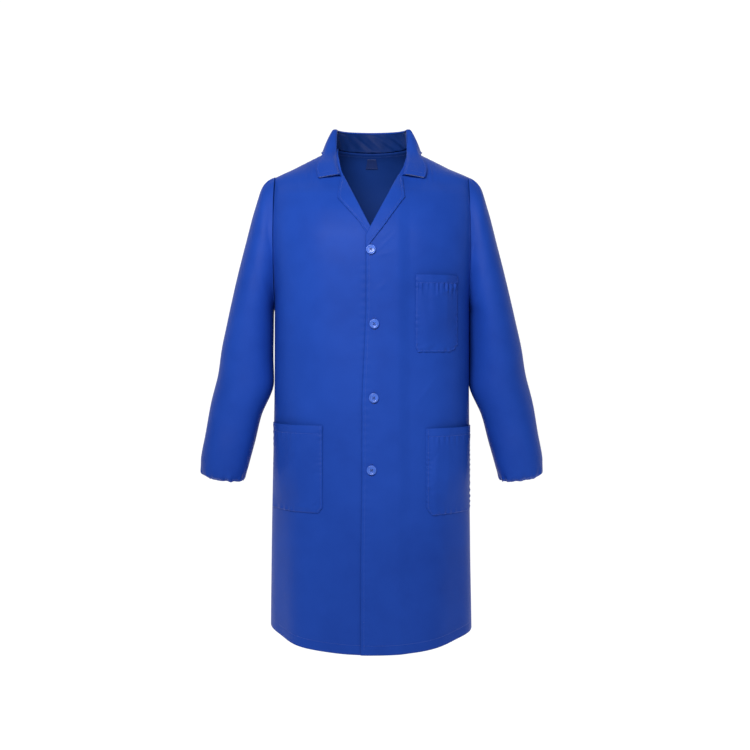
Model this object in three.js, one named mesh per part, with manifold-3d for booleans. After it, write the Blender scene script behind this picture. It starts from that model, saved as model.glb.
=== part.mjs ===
// Long lab coat with a notched collar, four front buttons, a chest pocket and
// two lower pockets, standing open as if worn.  Millimetres, +Z up, the front
// faces -Y, the wearer's left is +X.  The origin is the middle of the back neck
// seam, where the coat hangs from a hook or a hanger.
import * as THREE from 'three';
import { mergeVertices } from 'three/addons/utils/BufferGeometryUtils.js';
import Module from 'manifold-3d';

const wasm = await Module();
wasm.setup();

// ---------------------------------------------------------------- dimensions
const CLOTH = 1.0;             // wall of one layer of cloth
const GAP = 0.4;               // air between two layers
const HEM_Z = -1010;           // hem at the centre front and back
const HEM_LIFT = 15;           // how much higher the hem is at the side seams
const ARMHOLE_X = 201.8;       // plane of the armhole seams
const ARMHOLE_TOP = -60;
const ARMHOLE_BOTTOM = -334;
const OVERLAP = 4.2;           // how far the left front stands over the right one
const UNDERLAP_X = 20;         // edge of the right front, under the left one
const BUTTON_R = 9.5;
const BUTTON_HOLES_R = 2.3;
const BUTTON_Z0 = 6.0;         // underside of a button above the body's skin
const BUTTONS = [[-0.8, -227.7], [5.5, -372.5], [4.7, -517.4], [0.4, -657.3]];
const BUTTONHOLE_R = 10.9;
const LEFT_FOLD = [[-11, -240], [160, -1010]];     // line about which the left front swings
const RIGHT_FOLD = [[20, -560], [-133, -1010]];
const CHEST_POCKET = { x0: 86, x1: 171.5, z0: -428.5, z1: -275.5, bulge: 15 };
const RIGHT_POCKET = { x0: -199, x1: -95.2, z0: -743, z1: -572, bulge: 17 };
const LEFT_POCKET = { x0: 106.7, x1: 199, z0: -748, z1: -578, bulge: 17 };

// Horizontal sections of the body: height, half width, y of the side seam,
// depth in front of it, depth behind it, exponent of the superellipse.
const BODY = [
  [-1020, 207.0, -85, 178, 160, 2.5],
  [-800, 205.5, -85, 161, 150, 2.5],
  [-600, 203.0, -85, 149, 145, 2.5],
  [-480, 201.5, -85, 144, 142, 2.5],
  [-335, 201.5, -85, 141, 141, 2.5],
  [-260, 208.0, -85, 141, 141, 2.5],
  [-205, 213.0, -85, 138, 139, 2.5],
  [-150, 216.0, -83, 125, 134, 2.4],
  [-110, 216.0, -80, 104, 127, 2.3],
  [-76, 214.0, -77, 74, 117, 2.15],
  [-45, 160.0, -72, 58, 101, 2.05],
  [-14, 102.0, -66, 30, 79, 2.0],
  [0, 76.0, -62, 14, 62, 2.0],
];

// Sections of the sleeve, +X side: outer point and inner point of the ring in
// the XZ plane, half depth along Y, y of its centre.
const SLEEVE = [
  [202.4, -69, 202.4, -334, 60, -84],
  [226, -88, 202.8, -338, 66, -84],
  [243, -135, 203.2, -340, 69, -84],
  [260, -200, 203.5, -342.5, 71, -84],
  [276, -264, 203.8, -345, 71, -85],
  [290.5, -327, 204, -350, 70, -86],
  [306, -398, 204.5, -420, 66, -88],
  [320, -468, 205.5, -491, 61, -91],
  [333, -540, 227, -562, 57, -96],
  [345, -601, 244, -622, 53, -102],
  [354, -652, 257, -671, 50, -107],
  [353, -674, 262, -687, 47, -109],
  [338, -689, 267, -697, 36, -110],
];

// ------------------------------------------------------------------- helpers
function pchip(xs, ys, x) {
  const n = xs.length;
  const h = [], d = [], m = new Array(n).fill(0);
  for (let i = 0; i < n - 1; i++) { h.push(xs[i + 1] - xs[i]); d.push((ys[i + 1] - ys[i]) / h[i]); }
  for (let i = 1; i < n - 1; i++) if (d[i - 1] * d[i] > 0) {
    const w1 = 2 * h[i] + h[i - 1], w2 = h[i] + 2 * h[i - 1];
    m[i] = (w1 + w2) / (w1 / d[i - 1] + w2 / d[i]);
  }
  m[0] = d[0]; m[n - 1] = d[n - 2];
  x = Math.min(Math.max(x, xs[0]), xs[n - 1]);
  let i = 0;
  while (i < n - 2 && x > xs[i + 1]) i++;
  const t = (x - xs[i]) / h[i];
  return (1 + 2 * t) * (1 - t) ** 2 * ys[i] + t * (1 - t) ** 2 * h[i] * m[i]
    + t * t * (3 - 2 * t) * ys[i + 1] + t * t * (t - 1) * h[i] * m[i + 1];
}
const column = (table, k) => table.map((row) => row[k]);
const BODY_Z = column(BODY, 0);
const BODY_COLUMNS = [1, 2, 3, 4, 5].map((k) => column(BODY, k));
const section = (z) => BODY_COLUMNS.map((ys) => pchip(BODY_Z, ys, z));
const smooth = (t) => { t = Math.min(Math.max(t, 0), 1); return t * t * (3 - 2 * t); };
const signed = (v, e) => Math.sign(v) * Math.abs(v) ** e;

// A point of the body's skin: phi 0 is the centre front, +90 degrees the
// wearer's left side, 180 the centre back.
function skinAt(phi, z) {
  const [a, yr, bf, bb, n] = section(z);
  const s = Math.sin(phi), c = Math.cos(phi), e = 2 / n;
  return new THREE.Vector3(a * signed(s, e), yr - (c > 0 ? bf : bb) * signed(c, e), z);
}
function skin(phi, z, off) {
  const p = skinAt(phi, z);
  const d = 0.02;
  const du = skinAt(phi + d, z).sub(skinAt(phi - d, z));
  const dv = skinAt(phi, Math.min(z + 2, 0)).sub(skinAt(phi, z - 2));
  const nrm = du.cross(dv).normalize();
  return p.addScaledVector(nrm, off);
}
// The angle at which the front of the skin has a given x.
function phiAt(x, z) {
  const [a, , , , n] = section(z);
  const s = Math.min(Math.abs(x) / a, 0.99995) ** (n / 2);
  return Math.sign(x) * Math.asin(s);
}
// A closed sheet made from a box whose grid is moved by map(u, v, w): u and v
// run along the sheet and w through it.  closed joins u = 1 to u = 0.
function sheet(nu, nv, map, closed = false) {
  const g = new THREE.BoxGeometry(1, 1, 1, nu, nv, 1);
  let index = Array.from(g.index.array);
  // Cut the cells of the two wide faces along the same diagonal, so that two
  // sheets laid over each other keep their distance.
  const back = g.groups[5];
  for (let i = back.start; i < back.start + back.count; i += 6) {
    const [a, b, d, , c] = index.slice(i, i + 5);
    index.splice(i, 6, a, b, c, a, c, d);
  }
  if (closed) index = index.slice(g.groups[2].start);
  const p = g.attributes.position;
  for (let i = 0; i < p.count; i++) {
    let u = p.getX(i) + 0.5;
    if (closed && u > 1 - 1e-6) u = 0;
    const q = map(u, p.getY(i) + 0.5, p.getZ(i) + 0.5);
    p.setXYZ(i, q.x, q.y, q.z);
  }
  g.deleteAttribute('normal');
  g.deleteAttribute('uv');
  g.clearGroups();
  g.setIndex(index);
  const m = mergeVertices(g, 1e-4);
  return outward(m);
}
function outward(g) {
  const p = g.attributes.position, ix = g.index.array;
  const a = new THREE.Vector3(), b = new THREE.Vector3(), c = new THREE.Vector3();
  let vol = 0;
  for (let i = 0; i < ix.length; i += 3) {
    a.fromBufferAttribute(p, ix[i]); b.fromBufferAttribute(p, ix[i + 1]); c.fromBufferAttribute(p, ix[i + 2]);
    vol += a.dot(b.cross(c));
  }
  if (vol < 0) for (let i = 0; i < ix.length; i += 3) { const t = ix[i]; ix[i] = ix[i + 1]; ix[i + 1] = t; }
  return g;
}
function bare(g) {
  g.deleteAttribute('normal');
  g.deleteAttribute('uv');
  return mergeVertices(g, 1e-4);
}
function solid(g) {
  return new wasm.Manifold(new wasm.Mesh({
    numProp: 3,
    vertProperties: new Float32Array(g.attributes.position.array),
    triVerts: new Uint32Array(g.index.array),
  }));
}
function geometry(m) {
  const mesh = m.getMesh();
  const g = new THREE.BufferGeometry();
  g.setAttribute('position', new THREE.BufferAttribute(new Float32Array(mesh.vertProperties), 3));
  g.setIndex(Array.from(mesh.triVerts));
  return g;
}
// A prism along Y over an outline in the XZ plane.
function prism(points, y0 = -420, y1 = 300) {
  const shape = new THREE.Shape(points.map(([x, z]) => new THREE.Vector2(x, z)));
  const g = new THREE.ExtrudeGeometry(shape, { depth: y1 - y0, bevelEnabled: false });
  g.rotateX(Math.PI / 2);            // (x, y, z) -> (x, -z, y)
  g.translate(0, y1, 0);
  return solid(outward(bare(g)));
}
function block(x0, x1, y0, y1, z0, z1) {
  const g = new THREE.BoxGeometry(x1 - x0, y1 - y0, z1 - z0);
  g.translate((x0 + x1) / 2, (y0 + y1) / 2, (z0 + z1) / 2);
  return solid(outward(bare(g)));
}

// -------------------------------------------------------------------- layers
const ROWS = [-1010, -920, -820, -720, -620, -540, -480, -400, -334,
  -285, -240, -200, -168, -138, -110, -85, -66, -46, -26, -12, 0];
function rowZ(v, phi) {
  const t = v * (ROWS.length - 1), i = Math.min(Math.floor(t), ROWS.length - 2);
  const z = ROWS[i] + (ROWS[i + 1] - ROWS[i]) * (t - i);
  return z + HEM_LIFT * Math.sin(phi) ** 2 * smooth((-840 - z) / 150);
}
function layer(lower, upper, nu = 40) {
  return solid(sheet(nu, ROWS.length - 1, (u, v, w) => {
    const phi = -Math.PI + 2 * Math.PI * u;
    const z = rowZ(v, phi);
    const lo = typeof lower === 'function' ? lower(phi, z) : lower;
    const hi = typeof upper === 'function' ? upper(phi, z) : upper;
    return skin(phi, z, lo + (hi - lo) * w);
  }, true));
}
// The left front rises over the right one near the centre front.
const rise = (phi, z) => {
  const x = Math.cos(phi) > 0 ? skinAt(phi, z).x : 300;
  return OVERLAP * (1 - smooth((x - 50) / 29));
};
const bodyLayer = layer(-CLOTH, 0);
const leftLayer = layer((p, z) => rise(p, z) - CLOTH, rise);
const leftInter = layer(OVERLAP - 2 * CLOTH - GAP, OVERLAP - CLOTH - GAP);
const leftFacing = layer(OVERLAP - 3 * CLOTH - 2 * GAP, OVERLAP - 2 * CLOTH - 2 * GAP);
const rightInter = layer(-2 * CLOTH - GAP, -CLOTH - GAP);
const rightFacing = layer(-3 * CLOTH - 2 * GAP, -2 * CLOTH - 2 * GAP);

// The space in front of the shoulder and side seams, and the one behind it.
const half = (front) => solid(sheet(1, 24, (u, v, w) => {
  const z = -1060 + 1100 * v;
  const yr = section(z)[1];
  const near = front ? yr - 0.2 : yr + 0.2, far = front ? -420 : 300;
  return new THREE.Vector3(-420 + 840 * u, near + (far - near) * w, z);
}));
const inFront = half(true), behind = half(false);
const armholes = block(ARMHOLE_X, 320, -400, 300, ARMHOLE_BOTTOM, ARMHOLE_TOP)
  .add(block(-320, -ARMHOLE_X, -400, 300, ARMHOLE_BOTTOM, ARMHOLE_TOP));

// Holes through the left front where a button passes.
const onSkin = (x, z, off) => skin(phiAt(x, z), z, off);
function round(x, z, r) {
  const g = new THREE.CylinderGeometry(r, r, 60, 20);
  g.translate(x, -240, z);
  return solid(outward(bare(g)));
}
let holes = null;
BUTTONS.forEach(([x, z], i) => {
  const h = round(x, z, BUTTONHOLE_R);
  holes = holes ? holes.add(h) : h;
  if (i === 1) holes = holes.add(round(x - 2.6, z, BUTTONHOLE_R)).add(round(x + 5.5, z, 12.6));
});

// -------------------------------------------------------------------- panels
const EDGE = 0.22;             // half the gap along a cut line
const fold = (line, z) => line[0][0] + (line[1][0] - line[0][0]) * (z - line[0][1]) / (line[1][1] - line[0][1]);
const low = -1060;
const leftNeck = [[76.3, 30], [76.1, -9.2], [65.2, -51], [47.2, -87], [30.6, -120.4], [12.6, -154.4], [-1.8, -181.7], [-11, -199]];
const rightNeck = [[-76, 30], [-70, -17.3], [-61.2, -59.8], [-41.3, -102], [-22.9, -139.4], [-1.8, -181.4]];
const frontEdge = [[-11, -346], [-18.7, -521], [-18.7, -677], [-20.6, -832], [-20.6, low]];
const leftFixedOutline = prism([...leftNeck, [-11, -240 + EDGE], [fold(LEFT_FOLD, low) + EDGE, low], [300, low], [300, 30]]);
const leftMovingOutline = prism([[-11, -240 - EDGE * 4], ...frontEdge, [fold(LEFT_FOLD, low) - EDGE, low]]);
const rightFixedOutline = prism([...rightNeck, [UNDERLAP_X, -228], [UNDERLAP_X, -560 + EDGE], [fold(RIGHT_FOLD, low) - EDGE, low], [-300, low], [-300, 30]]);
const rightMovingOutline = prism([[UNDERLAP_X, -560 - EDGE * 3], [UNDERLAP_X, low], [fold(RIGHT_FOLD, low) + EDGE, low]]);

const back = bodyLayer.intersect(behind).subtract(armholes);
const leftFrontCloth = leftLayer.intersect(inFront).subtract(armholes);
const rightFrontCloth = bodyLayer.intersect(inFront).subtract(armholes);
const leftFront = leftFrontCloth.intersect(leftFixedOutline).subtract(holes);
const leftFlap = leftFrontCloth.intersect(leftMovingOutline).subtract(holes);
const rightFront = rightFrontCloth.intersect(rightFixedOutline);
const rightFlap = rightFrontCloth.intersect(rightMovingOutline);

// Facing and interfacing strips, inside the two front edges.
const leftStrip = prism([[-11, -262], ...frontEdge.slice(0, -1), [-20.6, -1008], [36, -1008], [36, -470], [6, -330]]);
const rightStrip = prism([[UNDERLAP_X, -590], [UNDERLAP_X, -1008], [-38, -1008], [-38, -752]]);
const frontOnly = block(-300, 300, -420, -100, low, 30);
const strip = (l, outline, moving) => l.intersect(outline).intersect(moving).intersect(frontOnly);
const leftFacingStrip = strip(leftFacing, leftStrip, leftMovingOutline).subtract(holes);
const leftInterStrip = strip(leftInter, leftStrip, leftMovingOutline).subtract(holes);
const rightFacingStrip = strip(rightFacing, rightStrip, rightMovingOutline);
const rightInterStrip = strip(rightInter, rightStrip, rightMovingOutline);

// ------------------------------------------------------------------- lapels
const lapelLayer = (lo, hi) => layer(lo, hi).intersect(frontOnly);
const leftLapelTop = lapelLayer((p, z) => rise(p, z) + 0.6, (p, z) => rise(p, z) + 1.9);
const rightLapelTop = lapelLayer(0.6, 1.9);
const leftLapel = leftLapelTop.intersect(prism([[56.4, -70], [62.4, -78], [66.3, -122.5], [21.1, -186], [-1.2, -213.2],
  [-11.6, -235], [-11.6, -200], [-1.8, -181.7], [12.6, -154.4], [30.6, -120.4], [47.2, -87]]))
  .subtract(round(BUTTONS[0][0], BUTTONS[0][1], 16.5));
const rightLapel = rightLapelTop.intersect(prism([[-56.4, -70], [-62.9, -77], [-67.6, -121.9], [-23.8, -162.4],
  [-14.5, -184], [-5, -179.5], [-22.9, -139.4], [-41.3, -102]]));

// ------------------------------------------------------------------- collar
// Half curves from the centre back to the front end, +X side.
const FOLD_LINE = [[0, 6, 47], [30, 0, 46.5], [56, -16, 45], [71, -36, 44], [75, -56, 41.5], [75.5, -75, 16], [75, -91, -12], [70, -122, -38], [64, -147, -58]];
const NECK_LINE = [[0, -1, 1.2], [29, -5.6, 1.2], [53.5, -19, 1.2], [69, -38.6, 1.2], [74.5, -60, 1.2], [73.5, -68, 1.2], [72.6, -76, 1.2]];
const EDGE_LINE = [[180, -15], [152, -15], [127, -15.5], [107, -16], [90, -17], [72, -20.5], [60, -26.5], [48.5, -37], [38, -51], [30.5, -67]];
const whole = (pts) => new THREE.CatmullRomCurve3([
  ...pts.slice(1).reverse().map(([x, y, z]) => new THREE.Vector3(-x, y, z)),
  ...pts.map(([x, y, z]) => new THREE.Vector3(x, y, z))], false, 'centripetal');
const foldCurve = whole(FOLD_LINE);
const neckCurve = whole(NECK_LINE);
const edgeCurve = whole(EDGE_LINE.map(([deg, z]) => skinAt(THREE.MathUtils.degToRad(deg), z).toArray()));
// Keeps a point at least m away from the body, measured level.
function clearOf(p, m) {
  if (p.z > 0) return p;
  const [a, yr, bf, bb, n] = section(p.z);
  const dy = p.y - yr;
  const r = ((Math.abs(p.x) / a) ** n + (Math.abs(dy) / (dy < 0 ? bf : bb)) ** n) ** (1 / n);
  const len = Math.hypot(p.x, dy);
  const away = len * (1 - 1 / r);
  if (away < m) { const k = (len / r + m) / len; p.x *= k; p.y = yr + dy * k; }
  return p;
}
function fallAt(t, v) {
  const a = foldCurve.getPoint(t), b = edgeCurve.getPoint(t);
  const p = a.lerp(b, v);
  const out = new THREE.Vector3(p.x, p.y + 62, 0).normalize();
  p.addScaledVector(out, 2.2 + 5 * v * (1 - v) * 2);
  return clearOf(p, 5.5);
}
function fall(lo, hi, v0, v1, nu = 32, nv = 4) {
  return sheet(nu, nv, (u, v, w) => {
    const t = 0.004 + 0.992 * u, q = v0 + (v1 - v0) * v;
    const p = fallAt(t, q);
    const out = new THREE.Vector3(p.x, p.y + 62, 0).normalize();
    out.z = 0.45;
    return p.addScaledVector(out.normalize(), (lo + (hi - lo) * w) * 1.15);
  });
}
const collarStand = sheet(26, 3, (u, v, w) => {
  const a = neckCurve.getPoint(u), t = 0.5 + (u - 0.5) * 0.66;
  const b = foldCurve.getPoint(t);
  const p = a.lerp(b, v * 0.955);
  const inward = new THREE.Vector3(-p.x, -62 - p.y, 0).normalize();
  return p.addScaledVector(inward, (w - 0.5) * CLOTH);
});

// ------------------------------------------------------------------- pockets
function pocket({ x0, x1, z0, z1, bulge }, cut) {
  const zm = (z0 + z1) / 2;
  const a0 = phiAt(x0, zm), a1 = phiAt(x1, zm);
  const g = sheet(8, 7, (u, v, w) => {
    const z = z0 + (z1 - z0) * v;
    const phi = a0 + (a1 - a0) * u;
    const edge = Math.min(1, Math.sin(Math.PI * u) * 1.25) * smooth(v / 0.35);
    return skin(phi, z, 0.9 + bulge * edge + CLOTH * w);
  });
  let m = solid(g);
  for (const c of cut) m = m.subtract(prism(c));
  return geometry(m);
}
const chestPocket = pocket(CHEST_POCKET, [
  [[80, -419], [91, -432], [80, -432]], [[176, -412], [176, -432], [158, -432]]]);
const rightPocket = pocket(RIGHT_POCKET, [[[-90, -733], [-90, -760], [-104, -744]]]);
const leftPocket = pocket(LEFT_POCKET, [[[100, -732], [100, -760], [117.5, -749]]]);

// ------------------------------------------------------------------- sleeves
const ringKnots = SLEEVE.map((_, i) => i);
const ringColumns = [0, 1, 2, 3, 4, 5].map((k) => column(SLEEVE, k));
function sleeveAt(side, s, psi, off) {
  const [ox, oz, ix, iz, d, cy] = ringColumns.map((ys) => pchip(ringKnots, ys, s));
  const cx = (ox + ix) / 2, cz = (oz + iz) / 2;
  const h = Math.hypot(ox - ix, oz - iz) / 2;
  const ex = (ox - ix) / (2 * h), ez = (oz - iz) / (2 * h);
  const k = (h + off) * signed(Math.cos(psi), 0.92);
  return new THREE.Vector3(side * (cx + ex * k), cy + (d + off) * signed(Math.sin(psi), 0.92), cz + ez * k);
}
const RINGS = [0, 1, 2, 3, 4, 4.95, 5, 6, 7, 8, 9, 10, 10.5, 11, 11.5, 12];
function sleeveRing(side, s0, s1, lo, hi) {
  const steps = RINGS.filter((s) => s >= s0 && s <= s1);
  return sheet(16, steps.length - 1, (u, v, w) => sleeveAt(side, steps[Math.round(v * (steps.length - 1))],
    2 * Math.PI * u, lo + (hi - lo) * w), true);
}

// ------------------------------------------------------------------- buttons
function placed(m, x, z) {
  const n = onSkin(x, z, 1).sub(onSkin(x, z, 0));
  const q = new THREE.Quaternion().setFromUnitVectors(new THREE.Vector3(0, 0, 1), n.normalize());
  const g = geometry(m);
  g.applyQuaternion(q);
  const p = onSkin(x, z, 0);
  g.translate(p.x, p.y, p.z);
  return g;
}
function tube(r, z0, z1, n = 12, x = 0, y = 0) {
  const g = new THREE.CylinderGeometry(r, r, z1 - z0, n);
  g.rotateX(Math.PI / 2);
  g.translate(x, y, (z0 + z1) / 2);
  return solid(outward(bare(g)));
}
const holeSpots = [0, 1, 2, 3].map((k) => {
  const t = Math.PI / 4 + k * Math.PI / 2;
  return [BUTTON_HOLES_R * Math.cos(t), BUTTON_HOLES_R * Math.sin(t)];
});
function button(x, z) {
  let m = tube(BUTTON_R, BUTTON_Z0, BUTTON_Z0 + 3, 20).subtract(tube(7.0, BUTTON_Z0 + 2.2, BUTTON_Z0 + 4, 16));
  for (const [a, b] of holeSpots) m = m.subtract(tube(1.0, BUTTON_Z0 - 1, BUTTON_Z0 + 4, 6, a, b));
  return placed(m, x, z);
}
function thread(x, z) {
  let m = tube(3.1, GAP + 0.1, BUTTON_Z0 - GAP, 8);
  for (const [a, b] of holeSpots) m = m.add(tube(0.55, BUTTON_Z0 - 1, BUTTON_Z0 + 3, 4, a, b));
  for (const turn of [Math.PI / 4, -Math.PI / 4]) {
    const g = new THREE.BoxGeometry(2 * BUTTON_HOLES_R + 0.9, 0.9, 0.7);
    g.rotateZ(turn);
    g.translate(0, 0, BUTTON_Z0 + 2.95);
    m = m.add(solid(outward(bare(g))));
  }
  return placed(m, x, z);
}

// --------------------------------------------------------------- small parts
const neckLabel = sheet(4, 3, (u, v, w) => {
  const z = -30 + 20 * v;
  const phi = Math.PI + (u - 0.5) * 0.2;
  return skin(phi, z, -CLOTH - 1.3 - 0.8 * w);
});

// ------------------------------------------------------------------ assembly
const BLUE = 0x2a50b4, INSIDE = 0x1b3f8f, PALE = 0x5b82e6;
const coat = new THREE.Group();
function add(name, g, color, roughness = 0.62) {
  const mesh = new THREE.Mesh(g.getIndex ? g : geometry(g),
    new THREE.MeshStandardMaterial({ color, roughness, metalness: 0 }));
  mesh.name = name;
  coat.add(mesh);
}
add('back_panel', geometry(back), BLUE);
add('left_front', geometry(leftFront), BLUE);
add('right_front', geometry(rightFront), BLUE);
add('left_front_edge', geometry(leftFlap), BLUE);
add('right_front_edge', geometry(rightFlap), BLUE);
add('left_facing', geometry(leftFacingStrip), INSIDE);
add('right_facing', geometry(rightFacingStrip), INSIDE);
add('left_interfacing', geometry(leftInterStrip), 0xd8dade, 0.9);
add('right_interfacing', geometry(rightInterStrip), 0xd8dade, 0.9);
add('left_lapel', geometry(leftLapel), BLUE);
add('right_lapel', geometry(rightLapel), BLUE);
add('collar_stand', collarStand, INSIDE);
add('under_collar', fall(0.0, 1.0, 0, 1), INSIDE);
add('collar_interlining', fall(1.5, 2.3, 0, 1), 0xd8dade, 0.9);
add('upper_collar', fall(2.8, 3.8, 0, 1), BLUE);
add('chest_pocket', chestPocket, BLUE);
add('right_pocket', rightPocket, BLUE);
add('left_pocket', leftPocket, BLUE);
for (const [name, side] of [['left', 1], ['right', -1]]) {
  // The sleeve's head bends between the armhole seam and the rest of the sleeve.
  add(`${name}_sleeve_head`, sleeveRing(side, 0, 4.95, -CLOTH, 0), BLUE);
  add(`${name}_sleeve`, sleeveRing(side, 5, 12, -CLOTH, 0), BLUE);
  add(`${name}_cuff_elastic`, sleeveRing(side, 11, 11.5, -3.6, -2.6), 0xe4e6ea, 0.9);
  add(`${name}_cuff_casing`, sleeveRing(side, 10.5, 11.5, -6.4, -5.4), INSIDE);
}
BUTTONS.forEach(([x, z], i) => {
  add(`button_${i + 1}`, button(x, z), PALE, 0.3);
  add(`button_thread_${i + 1}`, thread(x, z), BLUE, 0.8);
});
add('neck_label', neckLabel, 0x16316f, 0.8);

export default coat;
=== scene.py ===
import math

import bpy
import bmesh
import numpy as np
from mathutils import Matrix, Vector


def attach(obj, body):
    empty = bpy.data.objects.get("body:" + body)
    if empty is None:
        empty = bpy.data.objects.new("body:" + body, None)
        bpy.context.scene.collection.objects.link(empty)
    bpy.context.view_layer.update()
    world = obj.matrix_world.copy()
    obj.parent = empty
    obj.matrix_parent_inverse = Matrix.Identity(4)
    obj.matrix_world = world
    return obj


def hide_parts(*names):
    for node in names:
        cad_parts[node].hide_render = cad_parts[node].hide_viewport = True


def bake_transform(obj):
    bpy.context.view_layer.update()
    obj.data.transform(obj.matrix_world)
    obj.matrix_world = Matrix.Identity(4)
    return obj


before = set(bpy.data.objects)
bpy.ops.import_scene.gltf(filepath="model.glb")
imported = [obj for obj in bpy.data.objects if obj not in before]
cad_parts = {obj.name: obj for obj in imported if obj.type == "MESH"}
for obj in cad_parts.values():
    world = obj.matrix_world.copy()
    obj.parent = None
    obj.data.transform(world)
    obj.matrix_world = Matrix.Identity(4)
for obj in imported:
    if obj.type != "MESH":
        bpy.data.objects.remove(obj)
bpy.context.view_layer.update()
scene = bpy.context.scene
MM = 0.001

# ------------------------------------------------------------------ camera
cam = bpy.data.cameras.new("camera")
cam.sensor_width = 36.0
cam.lens = 36.0 * 1052.6 / 750.0
cam.clip_end = 60.0
cam_obj = bpy.data.objects.new("camera", cam)
cam_obj.location = (0.0071, -2.285, -0.400)
cam_obj.rotation_euler = (math.pi / 2, 0.0, 0.0)
cam.shift_y = -37.2 / 750.0
scene.collection.objects.link(cam_obj)
scene.camera = cam_obj

# -------------------------------------------------------- the coat's shape
# All lengths below are millimetres, in the CAD frame: +Z up, front at -Y,
# origin at the middle of the back neck seam.
OVERLAP = 4.2
UNDERLAP_X = 20.0
HEM_Z = -1010.0
HEM_LIFT = 24.0
ARMHOLE_X = 201.8
ARMHOLE_TOP, ARMHOLE_BOTTOM = -60.0, -334.0
BUTTONS = [
    ((-0.8, -224.81, -227.7), (0.0, -0.998, 0.067)),
    ((5.5, -226.29, -372.5), (0.003, -1.0, 0.015)),
    ((4.7, -230.26, -517.4), (0.003, -0.999, 0.039)),
    ((0.4, -237.01, -657.3), (0.0, -0.998, 0.056)),
]
CHEST = dict(x0=86.0, x1=171.5, z0=-428.5, z1=-275.5)
RIGHT = dict(x0=-199.0, x1=-95.2, z0=-743.0, z1=-572.0)
LEFT = dict(x0=106.7, x1=199.0, z0=-748.0, z1=-578.0)
BODY = np.array([
    [-1020, 207, -85, 178, 160, 2.5], [-800, 205.5, -85, 161, 150, 2.5],
    [-600, 203, -85, 149, 145, 2.5], [-480, 201.5, -85, 144, 142, 2.5],
    [-335, 201.5, -85, 141, 141, 2.5], [-260, 208, -85, 141, 141, 2.5],
    [-205, 213, -85, 138, 139, 2.5], [-150, 216, -83, 125, 134, 2.4],
    [-110, 216, -80, 104, 127, 2.3], [-76, 214, -77, 74, 117, 2.15],
    [-45, 160, -72, 58, 101, 2.05], [-14, 102, -66, 30, 79, 2.0],
    [0, 76, -62, 14, 62, 2.0]], float)
SLEEVE = np.array([
    [202.4, -69, 202.4, -334, 60, -84], [226, -88, 202.8, -338, 66, -84],
    [243, -135, 203.2, -340, 69, -84], [260, -200, 203.5, -342.5, 71, -84],
    [276, -264, 203.8, -345, 71, -85], [290.5, -327, 204, -350, 70, -86],
    [306, -398, 204.5, -420, 66, -88], [320, -468, 205.5, -491, 61, -91],
    [333, -540, 227, -562, 57, -96], [345, -601, 244, -622, 53, -102],
    [354, -652, 257, -671, 50, -107], [353, -674, 262, -687, 47, -109],
    [338, -689, 267, -697, 36, -110]], float)
LEFT_NECK = [(76.1, -9.2), (65.2, -51), (47.2, -87), (30.6, -120.4), (12.6, -154.4), (-1.8, -181.7), (-11, -199)]
RIGHT_NECK = [(-70, -17.3), (-61.2, -59.8), (-41.3, -102), (-22.9, -139.4), (-1.8, -181.4)]
FRONT_EDGE = [(-11, -199), (-11, -346), (-18.7, -521), (-18.7, -677), (-20.6, -832), (-20.6, -1060)]
FOLD_LINE = [[0, 6, 47], [30, 0, 46.5], [56, -16, 45], [71, -36, 44], [75, -56, 41.5],
             [75.5, -75, 16], [75, -91, -12], [70, -121, -40], [62, -153, -71]]
NECK_LINE = [[0, -1, 1.2], [29, -5.6, 1.2], [53.5, -19, 1.2], [69, -38.6, 1.2],
             [74.5, -60, 1.2], [73.5, -68, 1.2], [72.6, -76, 1.2]]
EDGE_LINE = [[180, -12.5], [152, -12.5], [127, -12.5], [107, -12], [88, -12],
             [68, -14.5], [55, -22], [45.5, -33], [35.5, -54], [26.6, -77.0]]


def smooth(t):
    t = np.clip(t, 0.0, 1.0)
    return t * t * (3 - 2 * t)


def pchip(xs, ys, x):
    xs, ys, x = np.asarray(xs, float), np.asarray(ys, float), np.asarray(x, float)
    h = np.diff(xs)
    d = np.diff(ys) / h
    m = np.zeros(len(xs))
    for i in range(1, len(xs) - 1):
        if d[i - 1] * d[i] > 0:
            w1, w2 = 2 * h[i] + h[i - 1], h[i] + 2 * h[i - 1]
            m[i] = (w1 + w2) / (w1 / d[i - 1] + w2 / d[i])
    m[0], m[-1] = d[0], d[-1]
    x = np.clip(x, xs[0], xs[-1])
    i = np.clip(np.searchsorted(xs, x) - 1, 0, len(xs) - 2)
    t = (x - xs[i]) / h[i]
    return ((1 + 2 * t) * (1 - t) ** 2 * ys[i] + t * (1 - t) ** 2 * h[i] * m[i]
            + t * t * (3 - 2 * t) * ys[i + 1] + t * t * (t - 1) * h[i] * m[i + 1])


def section(z):
    return [pchip(BODY[:, 0], BODY[:, k], z) for k in range(1, 6)]


def signed(v, e):
    return np.sign(v) * np.abs(v) ** e


def unit(v):
    return v / np.maximum(np.linalg.norm(v, axis=-1, keepdims=True), 1e-9)


def skin_at(phi, z):
    phi, z = np.broadcast_arrays(np.asarray(phi, float), np.asarray(z, float))
    a, yr, bf, bb, n = section(z)
    s, c = np.sin(phi), np.cos(phi)
    return np.stack([a * signed(s, 2 / n), yr - np.where(c > 0, bf, bb) * signed(c, 2 / n), z], -1)


def normal_at(phi, z):
    phi, z = np.broadcast_arrays(np.asarray(phi, float), np.asarray(z, float))
    d = 0.02
    du = skin_at(phi + d, z) - skin_at(phi - d, z)
    dv = skin_at(phi, np.minimum(z + 2, 0)) - skin_at(phi, z - 2)
    return unit(np.cross(du, dv))


def phi_at(x, z):
    x, z = np.broadcast_arrays(np.asarray(x, float), np.asarray(z, float))
    a, yr, bf, bb, n = section(z)
    s = np.minimum(np.abs(x) / a, 0.99995) ** (n / 2)
    return np.sign(x) * np.arcsin(s)


def rise(x):
    return OVERLAP * (1 - smooth((x - 50) / 29))


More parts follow.
